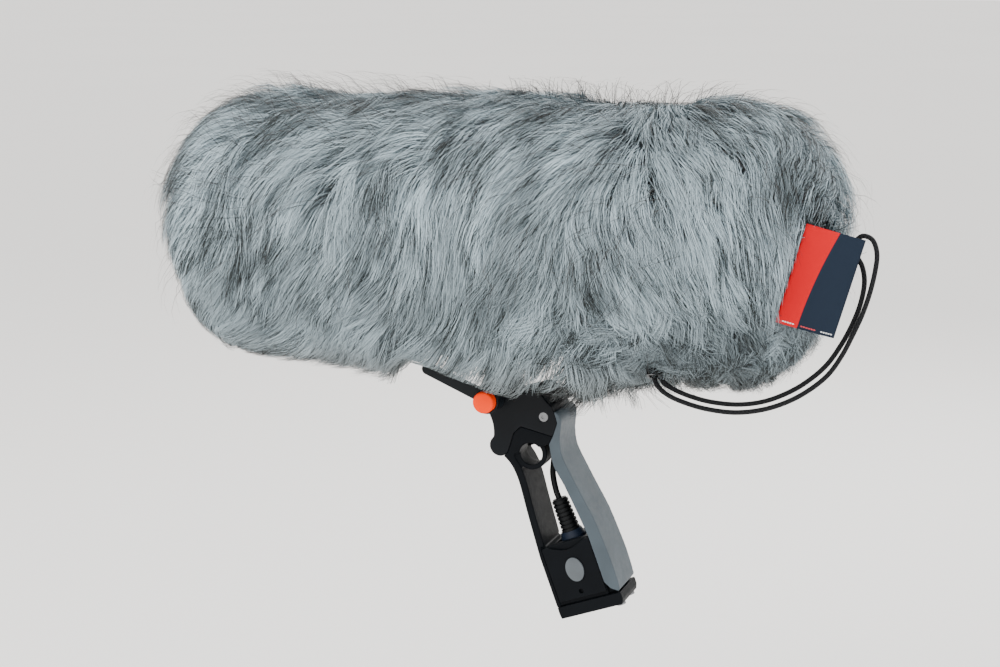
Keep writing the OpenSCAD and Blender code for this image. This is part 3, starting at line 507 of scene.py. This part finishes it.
def make_label():
    """Folded tape with its stitches, in place of the drawn label."""
    place = label_place()
    nu, nv = LABEL_CELLS
    verts, uvs = [], []
    for face in (-1, 1):
        for j in range(nv + 1):
            for i in range(nu + 1):
                u, v = i / nu, j / nv
                rim = min(u, 1 - u) * LABEL_W
                foot = min(v, 1 - v) * LABEL_H
                thick = LABEL_T / 2 * math.sqrt(min(1, min(rim, foot) / (0.8 * MM)) * 0.8 + 0.2)
                puff = 1 + 0.7 * math.exp(-((v - 0.035) / 0.03) ** 2)
                y = -label_face(u, v) + face * thick * puff
                verts.append(place @ Vector(((u - 0.5) * LABEL_W, y, (v - 0.5) * LABEL_H)))
                uvs.append((u, v))
    row = nu + 1
    sheet_n = row * (nv + 1)
    faces = []
    for j in range(nv):
        for i in range(nu):
            a = j * row + i
            faces.append((a, a + 1, a + row + 1, a + row))
            b = a + sheet_n
            faces.append((b, b + row, b + row + 1, b + 1))
    for i in range(nu):
        for a in (i, nv * row + i):
            ring = (a, a + sheet_n, a + 1 + sheet_n, a + 1)
            faces.append(ring if a == i else ring[::-1])
    for j in range(nv):
        for a in (j * row, j * row + nu):
            ring = (a, a + row, a + row + sheet_n, a + sheet_n)
            faces.append(ring if a == j * row else ring[::-1])
    label = mesh_object("label_tape", verts, faces, "windshield")
    layer = label.data.uv_layers.new(name="tape")
    for loop in label.data.loops:
        layer.data[loop.index].uv = uvs[loop.vertex_index]
    label.data.materials.append(tape_material())
    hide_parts("label")

    # stitches along the folded lower edge
    for name, u0, u1, count, colour in STITCH_ROWS:
        mesh = bmesh.new()
        for k in range(count):
            u = u0 + (u1 - u0) * (k + 0.5) / count
            v = STITCH_V
            y = -label_face(u, v) - LABEL_T * 0.95
            long = (u1 - u0) / count * LABEL_W * 0.46
            made = bmesh.ops.create_uvsphere(mesh, u_segments=10, v_segments=8, radius=1.0)
            spot = place @ Matrix.Translation(Vector(((u - 0.5) * LABEL_W, y, (v - 0.5) * LABEL_H)))
            shape = spot @ Matrix.Diagonal((long, 0.25 * MM, 0.42 * MM, 1))
            bmesh.ops.transform(mesh, matrix=shape, verts=made["verts"])
        data = bpy.data.meshes.new(f"label_stitches_{name}")
        mesh.to_mesh(data)
        mesh.free()
        data.shade_smooth()
        stitches = into_scene(data.name, data)
        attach(stitches, "windshield")
        mat, tree, shader = new_material(f"thread_{name}")
        twist = noise(tree, 2600, 3, 0.6)
        tree.links.new(ramp(tree, twist, [(0.3, tinted(colour, 0.6)), (0.7, colour)]),
                       shader.inputs["Base Color"])
        shader.inputs["Roughness"].default_value = 0.7
        shader.inputs["Sheen Weight"].default_value = 0.3
        bump(tree, shader, twist, 0.00008)
        data.materials.append(mat)


make_label()

# ---------------------------------------------------------------- fur cover

RNG = np.random.default_rng(7)

# where the hair grows
ROOT_IN = 20 * MM                       # roots lie this far inside the cover's outer surface
END_R = 60 * MM - ROOT_IN               # radius of the rounded ends at the roots
CORE_R = FUR_R - 60 * MM                # flat part of each end
ROOT_X0 = FUR_X0 + ROOT_IN + END_R - 7 * MM
ROOT_X1 = FUR_X1 - ROOT_IN - END_R
PILE = 28 * MM                          # the lie of the pile over its roots

# the hollow over the grip, and the way that the stem and the lead take through the cover
HOLLOW_X = 0.058
HOLLOW_Y = 0.038
HOLLOW_TOP = PIVOT[2] + 44 * MM
STEM_X = (-0.027, 0.038)
STEM_Y = 0.019

# the part that the drawcord gathers: below a height over the axis and behind an x
GATHER_TOP = 0.014
GATHER_RAGGED = 0.012
GATHER_DEEP = 0.05
GATHER_X = -0.035
GATHER_LONG = 0.08

# the skirt along the hollow's edges: x from the pivot, and its share of the full length
SKIRT_X = [-0.1, -0.05, 0.0, 0.03, 0.07, 0.10, 0.13]
SKIRT = [0, 0.45, 1.0, 1.0, 0.7, 0.2, 0]
SKIRT_BELOW = 0.03                      # it starts this far below the axis
SKIRT_DEEP = 0.02

# upper edge of the clamp's lever: x and height from the pivot
LEVER_EDGE_X = [-0.06, -0.046, -0.01, 0.004, 0.02]
LEVER_EDGE_Z = [0.016, 0.028, 0.0135, 0.0075, 0.005]
LEVER_FACE_Y = 0.03                     # past this, hair is lifted a little more

# hairs
WOOL = 92000
GUARD = 40000
FLY_AWAYS = 4200
FLY_TUFTS = 60
LOCKS = 4200
LOCK_GROUPS = 260
SEGMENTS = 6
TAPER_AT = [0, 0.15, 0.65, 1.0]         # places along a hair for the widths below
WOOL_TAPER = [0.8, 1.0, 0.8, 0.15]
GUARD_TAPER = [0.8, 1.0, 0.8, 0.3]
FLY_TAPER = [0.8, 1.0, 0.8, 0.2]
WOOL_WIDTH = (0.32, 0.56)               # mm
GUARD_WIDTH = (0.22, 0.38)
FLY_WIDTH = 0.3

# length of the locks in mm: everywhere, and what each place adds to it
LENGTH, LENGTH_HIGH, LENGTH_GATHERED, LENGTH_SKIRT, LENGTH_FAR = 46, 6, -12, 24, 10
# what the top, the skirt and the skirt's far side add to the pile's thickness, in mm
PILE_HIGH, PILE_SKIRT, PILE_FAR = 3, 15, 11

ROOM = 9 * MM                           # hair may pass the object's box by this much
SOFT_ROOM = 4 * MM


def height_over_roots(p):
    """Distance of points from the surface that the hair grows on."""
    beyond = np.maximum(np.maximum(p[:, 0] - ROOT_X1, ROOT_X0 - p[:, 0]), 0)
    radius = np.hypot(p[:, 1], p[:, 2] - AXIS_Z)
    return np.hypot(beyond, np.maximum(radius - CORE_R, 0)) - END_R


def outward(p):
    """Outward direction at points near the cover."""
    beyond = np.where(p[:, 0] > ROOT_X1, p[:, 0] - ROOT_X1,
                      np.where(p[:, 0] < ROOT_X0, p[:, 0] - ROOT_X0, 0.0))
    radius = np.hypot(p[:, 1], p[:, 2] - AXIS_Z) + 1e-9
    rim = np.maximum(radius - CORE_R, 0.15 * END_R * (np.abs(beyond) < 1e-6))
    n = np.stack([beyond, p[:, 1] / radius * rim, (p[:, 2] - AXIS_Z) / radius * rim], 1)
    return n / (np.linalg.norm(n, axis=1)[:, None] + 1e-9)


def scatter(count):
    """Points spread evenly over the root surface."""
    side = 2 * math.pi * (CORE_R + END_R) * (ROOT_X1 - ROOT_X0)
    quarter = 2 * math.pi * END_R * (END_R + CORE_R * math.pi / 2)
    disc = math.pi * CORE_R ** 2
    # part 0 is the straight side, 1 and 2 the rounded ends, 3 and 4 the flats of the ends
    parts = np.array([side, quarter, quarter, disc, disc])
    pick = RNG.choice(5, count, p=parts / parts.sum())
    turn = RNG.uniform(0, 2 * math.pi, count)
    x = RNG.uniform(ROOT_X0, ROOT_X1, count)
    r = np.full(count, CORE_R + END_R)
    bend = np.arcsin(RNG.uniform(0, 1, count))
    sign = np.where(pick == 1, -1.0, 1.0)
    end = np.where(pick == 1, ROOT_X0, ROOT_X1)
    rounded = (pick == 1) | (pick == 2)
    x = np.where(rounded, end + sign * END_R * np.sin(bend), x)
    r = np.where(rounded, CORE_R + END_R * np.cos(bend), r)
    flat = pick > 2
    x = np.where(flat, np.where(pick == 3, ROOT_X0 - END_R, ROOT_X1 + END_R), x)
    r = np.where(flat, CORE_R * np.sqrt(RNG.uniform(0, 1, count)), r)
    p = np.stack([x, r * np.cos(turn), AXIS_Z + r * np.sin(turn)], 1)
    inside = hollow(p) > 0
    p[inside, 2] = np.maximum(p[inside, 2], HOLLOW_TOP)
    return p[~stem_way(p)]


def wobble(p, scale, seed):
    """Smooth random field from a few sines, about -1 to 1, that changes over scale metres."""
    rng = np.random.default_rng(seed)
    total = np.zeros(len(p))
    for _ in range(6):
        k = rng.normal(0, 1 / scale, 3)
        total += np.sin(p @ k + rng.uniform(0, 2 * math.pi))
    return total / 3


def hollow(p):
    """1 inside the hollow over the grip, where the hair is short."""
    inside = (np.abs(p[:, 0] - PIVOT[0]) < HOLLOW_X) & (np.abs(p[:, 1]) < HOLLOW_Y)
    return (inside & (p[:, 2] < AXIS_Z)).astype(float)


def stem_way(p):
    """True where the stem and the lead pass through the cover."""
    x = p[:, 0] - PIVOT[0]
    within = (x > STEM_X[0]) & (x < STEM_X[1]) & (np.abs(p[:, 1]) < STEM_Y)
    return within & (p[:, 2] < AXIS_Z)


def gathered(p):
    """1 where the drawcord puckers the cover, at the lower rear, and 0 away from it."""
    top = AXIS_Z + GATHER_TOP
    low = np.clip((top - p[:, 2] + GATHER_RAGGED * wobble(p, 0.02, 41)) / GATHER_DEEP, 0, 1)
    rear = np.clip((p[:, 0] - GATHER_X) / GATHER_LONG, 0, 1)
    return low * rear


def skirt(p):
    """1 along the lower edges on both sides of the hollow, where the hair hangs longest."""
    along = np.interp(p[:, 0] - PIVOT[0], SKIRT_X, SKIRT)
    low = np.clip((AXIS_Z - SKIRT_BELOW - p[:, 2]) / SKIRT_DEEP, 0, 1)
    return along * low * (1 - hollow(p))


def combed(p, n):
    """Direction in which the pile is combed: down both sides, forward along the middle and
    the front, and round the rear end."""
    x = (p[:, 0] - ROOT_X0) / (ROOT_X1 - ROOT_X0)
    high = np.clip((p[:, 2] - AXIS_Z + 0.01) / 0.07, 0, 1)
    down = np.zeros_like(p)
    down[:, 2] = -1.0
    down[:, 1] = -1.3 * np.exp(-((p[:, 1] - 0.016) / 0.055) ** 2) * (p[:, 2] > AXIS_Z)
    along = np.zeros_like(p)
    forward = np.interp(x, [-0.2, 0.0, 0.35, 0.6, 0.95], [-0.5, -0.9, -0.8, -0.6, 0])
    back = np.interp(x, [0.66, 1.0, 1.2], [0, 0.85, 0.5])
    along[:, 0] = forward + back * (0.25 + 1.1 * high)
    c = down * (1 - 0.45 * (back * high)[:, None]) + along
    c += 0.5 * wobble(p, 0.04, 3)[:, None] * np.cross(n, down)
    c -= n * np.sum(c * n, axis=1)[:, None]
    return c / (np.linalg.norm(c, axis=1)[:, None] + 1e-9)


def turned_about(v, axis, angle):
    """Vectors v turned about unit axes by angles."""
    c = np.cos(angle)[:, None]
    s = np.sin(angle)[:, None]
    return v * c + np.cross(axis, v) * s + axis * np.sum(axis * v, 1)[:, None] * (1 - c)


def above_lever(path):
    """Points lifted softly off the clamp's lever, so the hair ends along its upper edge."""
    x = path[..., 0] - PIVOT[0]
    edge = PIVOT[2] + np.interp(x, LEVER_EDGE_X, LEVER_EDGE_Z)
    edge += 0.2 * np.maximum(-path[..., 1] - LEVER_FACE_Y, 0)
    near = (x > LEVER_EDGE_X[0]) & (x < LEVER_EDGE_X[-1])
    near &= (path[..., 1] < 0) & (path[..., 2] < edge)
    lifted = path.copy()
    lifted[..., 2] = np.where(near, edge + 0.2 * (path[..., 2] - edge), path[..., 2])
    return lifted


def kept_in(path):
    """Points drawn in softly where a hair would reach past the room round the object."""
    low, high = (np.array(c) for c in CAD_BOX)
    middle = (low + high) / 2
    start = (high - low) * 0.53 + (ROOM - SOFT_ROOM)
    beyond = np.maximum(np.abs(path - middle) - start, 0)
    drawn = SOFT_ROOM * np.tanh(beyond / SOFT_ROOM)
    return path - np.sign(path - middle) * (beyond - drawn)


def lie(root, length, lift, twist, pile):
    """Path of hairs from their roots: up through the pile, then over with the comb."""
    p = root.copy()
    path = [p.copy()]
    step = (length / SEGMENTS)[:, None]
    hang = 0.3 + 2.0 * skirt(root)
    for i in range(SEGMENTS):
        t = i / SEGMENTS
        n = outward(p)
        c = turned_about(combed(p, n), n, twist)
        d = n * (lift * (1 - t) ** 1.5)[:, None] + c * (0.35 + t)
        d[:, 2] -= hang * t
        d /= np.linalg.norm(d, axis=1)[:, None]
        p = p + d * step
        over = np.maximum(height_over_roots(p) - pile, 0)
        p -= outward(p) * (over * 0.8)[:, None]
        path.append(p.copy())
    return np.stack(path, 1)


def off_label(path):
    """True for hairs that don't cross the label's face."""
    place = np.array(label_place().inverted())
    local = path @ place[:3, :3].T + place[:3, 3]
    inside = (local[..., 0] > -LABEL_W / 2 - 0.5 * MM) & (local[..., 0] < LABEL_W / 2)
    inside &= (np.abs(local[..., 2]) < LABEL_H / 2 - 1 * MM) & (local[..., 1] < 2 * MM)
    return ~inside.any(axis=1)


def nearest(points, centres):
    """Number of the centre that is nearest to each point."""
    tree = kdtree.KDTree(len(centres))
    for i, c in enumerate(centres):
        tree.insert(c, i)
    tree.balance()
    return np.array([tree.find(p)[1] for p in points])


class Locks:
    """Locks of hair: where each one lies, its length, its waves and how dark its tips are."""

    def __init__(self, count, groups):
        self.root = scatter(count)
        self.count = len(self.root)
        group = scatter(groups)
        group_twist = RNG.normal(0, 0.27, len(group))
        group_dark = RNG.normal(0, 1, len(group))
        mine = nearest(self.root, group)
        g = gathered(self.root)
        short = 1 - 0.62 * hollow(self.root)
        self.gather = g
        self.twist = group_twist[mine] + RNG.normal(0, 0.15, self.count) * (1 + 4 * g)
        self.tone = RNG.normal(0, 1, self.count)
        self.dark = 0.65 * group_dark[mine] + RNG.normal(0, 0.8, self.count)
        high = np.clip((self.root[:, 2] - AXIS_Z) / 0.05, 0, 1)
        hanging = skirt(self.root)
        far = hanging * (self.root[:, 1] > 0)
        reach = LENGTH + LENGTH_HIGH * high + LENGTH_GATHERED * g
        self.length = (reach + LENGTH_SKIRT * hanging + LENGTH_FAR * far) * MM * short
        self.length *= RNG.uniform(0.88, 1.1, self.count)
        self.lift = RNG.uniform(0.8, 1.25, self.count) * (1 + 0.5 * high)
        uneven = RNG.uniform(-1, 1, self.count)
        tuft = (2.5 + 3.5 * high) * MM * np.clip(wobble(self.root, 0.012, 31), -1, 1)
        swell = PILE_HIGH * MM * high + PILE_SKIRT * MM * hanging + PILE_FAR * MM * far
        self.pile = (PILE + swell + tuft) * short * (0.93 + (0.06 + 0.2 * g) * uneven)
        self.path = lie(self.root, self.length, self.lift, self.twist, self.pile)
        self.phase = RNG.uniform(0, 2 * math.pi, self.count)
        self.curl = (0.5 + 5.5 * g) * MM * RNG.uniform(0.4, 1.6, self.count)
        self.waves = RNG.uniform(0.7, 1.3, self.count) + 0.8 * g


def grow(root, lock, locks, stretch, over, stray, hold, close):
    """Paths of the hairs that grow at these roots, each drawn towards its lock."""
    count = len(root)
    length = locks.length[lock] * stretch
    twist = locks.twist[lock] + RNG.normal(0, stray, count)
    pile = locks.pile[lock] * RNG.uniform(0.78, 1.0, count) + over
    own = lie(root, length, locks.lift[lock] * RNG.uniform(0.85, 1.15, count), twist, pile)
    t = np.linspace(0, 1, SEGMENTS + 1)[None, :, None]
    offset = (root - locks.root[lock])[:, None, :] * (1 - close * t)
    pull = hold * t ** 1.1
    path = own * (1 - pull) + (locks.path[lock] + offset) * pull
    along = np.gradient(path, axis=1)
    along /= np.linalg.norm(along, axis=2)[:, :, None] + 1e-12
    n = outward(root)
    across = np.cross(along, np.broadcast_to(n[:, None, :], along.shape))
    phase = locks.phase[lock] + RNG.normal(0, 0.35, count)
    turn = phase[:, None] + 2 * math.pi * locks.waves[lock][:, None] * t[0, :, 0][None]
    size = locks.curl[lock][:, None] * t[0, :, 0][None] ** 0.8
    path += across * (np.sin(turn) * size)[:, :, None]
    path += n[:, None, :] * (0.6 * np.cos(turn) * size)[:, :, None]
    path += RNG.normal(0, 0.3 * MM, path.shape) * t
    return path, n


def fly_aways(count):
    """Long thin dark hairs that stand clear of the pile, mostly along the top."""
    root = scatter(count * 4)
    root = root[root[:, 2] > AXIS_Z + 0.015 * RNG.normal(1, 1.5, len(root))][:count]
    tuft = scatter(FLY_TUFTS)
    mine = nearest(root, tuft)
    lean = RNG.normal(0, 0.55, len(tuft))[mine] + RNG.normal(0, 0.3, len(root))
    length = RNG.uniform(36, 62, len(root)) * MM
    lift = RNG.uniform(1.4, 3.0, len(root)) + 1.2 * RNG.uniform(0, 1, len(tuft))[mine]
    path = lie(root, length, lift, lean, PILE + RNG.uniform(6, 20, len(root)) * MM)
    t = np.linspace(0, 1, SEGMENTS + 1)
    bend = RNG.normal(0, 3 * MM, (len(root), 1, 3)) * (t ** 2)[None, :, None]
    return path + bend, outward(root)


def ribbons(name, path, normal, width, taper, colour):
    """Tapered ribbons along the paths, one strand each, with a colour at every point."""
    count, points, _ = path.shape
    normal = np.broadcast_to(normal[:, None, :], path.shape)
    along = np.gradient(path, axis=1)
    along /= np.linalg.norm(along, axis=2)[:, :, None] + 1e-12
    roll = RNG.uniform(-0.8, 0.8, count)
    side = np.cross(along, normal)
    side /= np.linalg.norm(side, axis=2)[:, :, None] + 1e-12
    up = np.cross(side, along)
    across = side * np.cos(roll)[:, None, None] + up * np.sin(roll)[:, None, None]
    t = np.linspace(0, 1, points)
    shape = np.interp(t, TAPER_AT, taper)
    half = (width[:, None] * shape[None] / 2)[:, :, None]
    path = kept_in(above_lever(path))
    verts = np.stack([path - across * half, path + across * half], 2).reshape(-1, 3)
    base = (np.arange(count) * points * 2)[:, None]
    a = base + (np.arange(points - 1) * 2)[None]
    quads = np.stack([a, a + 1, a + 3, a + 2], 2).reshape(-1, 4)
    mesh = bpy.data.meshes.new(name)
    mesh.vertices.add(len(verts))
    mesh.vertices.foreach_set("co", verts.astype(np.float32).ravel())
    mesh.loops.add(quads.size)
    mesh.loops.foreach_set("vertex_index", quads.astype(np.int32).ravel())
    mesh.polygons.add(len(quads))
    mesh.polygons.foreach_set("loop_start", np.arange(0, quads.size, 4, dtype=np.int32))
    mesh.update(calc_edges=True)
    mesh.shade_smooth()
    shade = mesh.attributes.new("hair_colour", "FLOAT_COLOR", "POINT")
    rgba = np.ones((count, points, 2, 4), np.float32)
    rgba[..., :3] = colour[:, :, None, :]
    shade.data.foreach_set("color", rgba.ravel())

    # one small cell of the map for each strand
    cells = int(math.ceil(math.sqrt(count)))
    cell = 1 / cells
    cx = (np.arange(count) % cells) * cell
    cy = (np.arange(count) // cells) * cell
    u = cx[:, None, None] + cell * (0.15 + 0.7 * t)[None, :, None] + np.zeros((1, 1, 2))
    v = cy[:, None, None] + cell * np.array([0.25, 0.75])[None, None] + np.zeros((1, points, 1))
    at_vert = np.stack([u, v], 3).reshape(-1, 2)
    layer = mesh.uv_layers.new(name="OFBake")
    layer.data.foreach_set("uv", at_vert[quads.ravel()].astype(np.float32).ravel())

    # soft light: each ribbon is shaded mostly as the pile that it lies in
    lean = (normal * 0.8 + up * 0.5)[:, :, None, :]
    lean = lean + across[:, :, None, :] * np.array([-0.25, 0.25])[None, None, :, None]
    lean = lean / np.linalg.norm(lean, axis=3)[..., None]
    mesh.normals_split_custom_set_from_vertices(lean.reshape(-1, 3).astype(np.float32))
    obj = into_scene(name, mesh)
    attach(obj, "windshield")
    return obj


def hair_material():
    """Dull hair in the colour that each point carries."""
    mat, tree, shader = new_material("fur_hair")
    colour = tree.nodes.new("ShaderNodeVertexColor")
    colour.layer_name = "hair_colour"
    tree.links.new(colour.outputs[0], shader.inputs["Base Color"])
    shader.inputs["Roughness"].default_value = 0.75
    shader.inputs["Sheen Weight"].default_value = 0.08
    shader.inputs["Specular IOR Level"].default_value = 0.12
    return mat


PALE = np.array([0.47, 0.59, 0.65])
MID = np.array([0.165, 0.205, 0.225])
OLIVE = np.array([0.013, 0.015, 0.014])
# brown that darkens the wool towards the bottom: painted shade with a brownish tint
SHADED_BROWN = np.array([0.11, 0.10, 0.085])


def wool_colour(path, lock, locks):
    """Pale blue-grey wool in soft patches, with painted shade at the roots and where the drawcord gathers the
    cover, and painted shade with a brownish tint underneath.
    """
    count = len(path)
    t = np.linspace(0, 1, SEGMENTS + 1)[None, :, None]
    root = path[:, 0]
    mix = 0.62 + 0.30 * wobble(root, 0.016, 21) + 0.12 * locks.tone[lock]
    # painted shade: where the drawcord gathers the cover the wool is mixed darker
    mix = np.clip(mix + RNG.normal(0, 0.07, count) - 0.42 * locks.gather[lock], 0, 1)
    body = MID + (PALE - MID) * mix[:, None, None]
    # painted shade towards the bottom of the cover: the wool is darkened and mixed with brown below the axis
    low = np.clip((AXIS_Z - 0.06 - path[:, :, 2]) / 0.03, 0, 1)[:, :, None]
    body = body * (1 - 0.5 * low) + SHADED_BROWN * 0.5 * low
    # painted shade at the roots: each strand is darker near its root, more so where the drawcord gathers the cover
    painted_root_shade = 0.62 - 0.34 * locks.gather[lock][:, None, None]
    return body * (painted_root_shade + (1 - painted_root_shade) * np.clip(t * 2.4, 0, 1))


def guard_colour(path):
    """Guard hairs: grey at the root, olive black over the outer half."""
    t = np.linspace(0, 1, SEGMENTS + 1)[None, :, None]
    dark = OLIVE * RNG.uniform(0.5, 2.0, (len(path), 1, 1))
    begin = RNG.uniform(0.1, 0.5, (len(path), 1, 1))
    fade = np.clip((t - begin) / 0.25, 0, 1)
    return MID * 0.8 * (1 - fade) + dark * fade


def make_backing():
    """The cover's knitted backing, lumpy under the pile and puckered at the drawcord."""
    rings, sides = 90, 120
    span = ROOT_X1 - ROOT_X0
    quarter = END_R * math.pi / 2
    total = span + 2 * quarter + 2 * CORE_R
    verts = []
    for s in np.linspace(0, total, rings):
        inner = min(s, total - s)
        front = s < total / 2
        end = ROOT_X0 if front else ROOT_X1
        sign = -1 if front else 1
        if inner < CORE_R:
            x, r = end + sign * END_R, inner
        elif inner < CORE_R + quarter:
            a = (inner - CORE_R) / END_R
            x, r = end + sign * END_R * math.cos(a), CORE_R + END_R * math.sin(a)
        else:
            x, r = ROOT_X0 + s - CORE_R - quarter, CORE_R + END_R
        for k in range(sides):
            a = 2 * math.pi * k / sides
            verts.append((x, r * math.cos(a), AXIS_Z + r * math.sin(a)))
    verts = np.array(verts)
    swell = (2.0 * wobble(verts, 0.012, 11) + 1.2 * wobble(verts, 0.006, 12)
             + 4 * gathered(verts) * wobble(verts, 0.008, 13)) * MM
    verts = verts + outward(verts) * np.clip(swell, -5 * MM, 6 * MM)[:, None]
    near = hollow(verts) > 0
    verts[near, 2] = np.maximum(verts[near, 2], HOLLOW_TOP)
    faces = []
    for i in range(rings - 1):
        for k in range(sides):
            j = (k + 1) % sides
            quad = (i * sides + k, (i + 1) * sides + k, (i + 1) * sides + j, i * sides + j)
            if not stem_way(verts[list(quad)].mean(axis=0)[None])[0]:
                faces.append(quad)
    backing = mesh_object("fur_backing", verts, faces, "windshield")
    mat, tree, shader = new_material("fur_underlay")
    tree.links.new(ramp(tree, noise(tree, 900, 5, 0.7), [(0.3, (0.12, 0.14, 0.15)),
                                                         (0.75, (0.34, 0.39, 0.41))]),
                   shader.inputs["Base Color"])
    shader.inputs["Roughness"].default_value = 0.95
    shader.inputs["Sheen Weight"].default_value = 0.3
    bump(tree, shader, noise(tree, 700, 4), 0.002)
    backing.data.materials.append(mat)
    shell = backing.modifiers.new("shell", "SOLIDIFY")
    shell.thickness = 1.5 * MM
    shell.offset = -1
    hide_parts("fur_sleeve", "fur_front", "fur_rear")
    return backing


def in_pieces(name, parts, path, normal, width, taper, colour, material):
    """Splits a coat of hair along the cover into pieces."""
    pieces = []
    clear = np.flatnonzero(off_label(path))
    order = clear[np.argsort(path[clear, 0, 0])]
    for k, part in enumerate(np.array_split(order, parts)):
        obj = ribbons(f"{name}_{k + 1}", path[part], normal[part], width[part], taper,
                      colour[part])
        obj.data.materials.append(material)
        pieces.append(obj)
    return pieces


def hair_widths(bounds, count):
    wider = 1.0
    return RNG.uniform(*bounds, count) * MM * wider


def make_fur():
    """The pile: wool, guard hairs over it and loose hairs on top."""
    locks = Locks(LOCKS, LOCK_GROUPS)
    material = hair_material()

    root = scatter(WOOL)
    lock = nearest(root, locks.root)
    path, normal = grow(root, lock, locks, stretch=RNG.uniform(0.8, 1.05, len(root)), over=0,
                        stray=0.2, hold=0.5, close=0.22)
    width = hair_widths(WOOL_WIDTH, len(root))
    pieces = in_pieces("fur_wool", 6, path, normal, width, WOOL_TAPER,
                       wool_colour(path, lock, locks), material)

    root = scatter(GUARD * 2)
    lock = nearest(root, locks.root)
    # more dark guard hairs grow where the drawcord gathers the cover, darkening it as painted shade
    chance = np.clip(0.22 + 0.50 * locks.dark[lock] + 0.3 * locks.gather[lock], 0.04, 1)
    keep = np.flatnonzero(RNG.uniform(0, 1, len(root)) < chance)[:GUARD]
    root, lock = root[keep], lock[keep]
    over = RNG.uniform(0.0, 3.5, len(root)) * MM
    path, normal = grow(root, lock, locks, stretch=RNG.uniform(0.9, 1.2, len(root)), over=over,
                        stray=0.2, hold=0.62, close=0.6)
    width = hair_widths(GUARD_WIDTH, len(root))
    pieces += in_pieces("fur_guard_hair", 3, path, normal, width, GUARD_TAPER,
                        guard_colour(path), material)

    loose, normal = fly_aways(FLY_AWAYS)
    shade = np.full((len(loose), SEGMENTS + 1, 3), 0.025) * RNG.uniform(0.6, 3, (len(loose), 1, 1))
    width = np.full(len(loose), FLY_WIDTH) * MM
    pieces += in_pieces("fur_fly_aways", 1, loose, normal, width, FLY_TAPER, shade, material)
    return pieces


backing = make_backing()
pile = make_fur()

# ---------------------------------------------------------------- lead

GRIP_LEAN = math.radians(20.5)
LEAD_R = 2 * MM
LEAD_POINTS = [
    # to the rear, across and up along the leaning grip, in mm
    (12.96, 0, 74.16), (12.6, 0.3, 80.2), (13.6, 2.2, 91), (17, 4.2, 100), (20.4, 5, 109),
    (21, 5, 121), (21, 5, 137), (21, 5, 150.4),
]


def make_lead():
    """Round lead in place of the drawn one, from the plug up through the grip."""
    rear = np.array([math.cos(GRIP_LEAN), 0, math.sin(GRIP_LEAN)])
    up = np.array([-math.sin(GRIP_LEAN), 0, math.cos(GRIP_LEAN)])
    across = np.array([0, 1, 0])
    path = smooth_path([MM * (w * rear + y * across + h * up) for w, y, h in LEAD_POINTS], 8)
    lead = tube("lead_in_grip", path, LEAD_R, "grip", 20)
    lead.data.materials.append(MATERIALS["cable"])
    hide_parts("lead_lower")


make_lead()

# ---------------------------------------------------------------- finish of the CAD parts

# voxel size of each rounded part, in mm
ROUNDED = {"grip_frame": 0.55, "head": 0.55, "soft_grip": 0.5, "base_cap": 0.5,
           "lever": 0.35, "stem": 0.6, "side_plate_near": 0.3, "side_plate_far": 0.3}


def round_edges(node_name, voxel):
    """Softens a moulded part's edges with modifiers: its own mesh stays as it is."""
    obj = NODES[node_name]
    remesh = obj.modifiers.new("remesh", "REMESH")
    remesh.mode = "VOXEL"
    remesh.voxel_size = voxel * MM
    remesh.use_smooth_shade = True
    smooth = obj.modifiers.new("smooth", "SMOOTH")
    smooth.factor = 0.5
    smooth.iterations = 6


for node_name, voxel in ROUNDED.items():
    round_edges(node_name, voxel)

# ---------------------------------------------------------------- finish

bpy.context.view_layer.update()
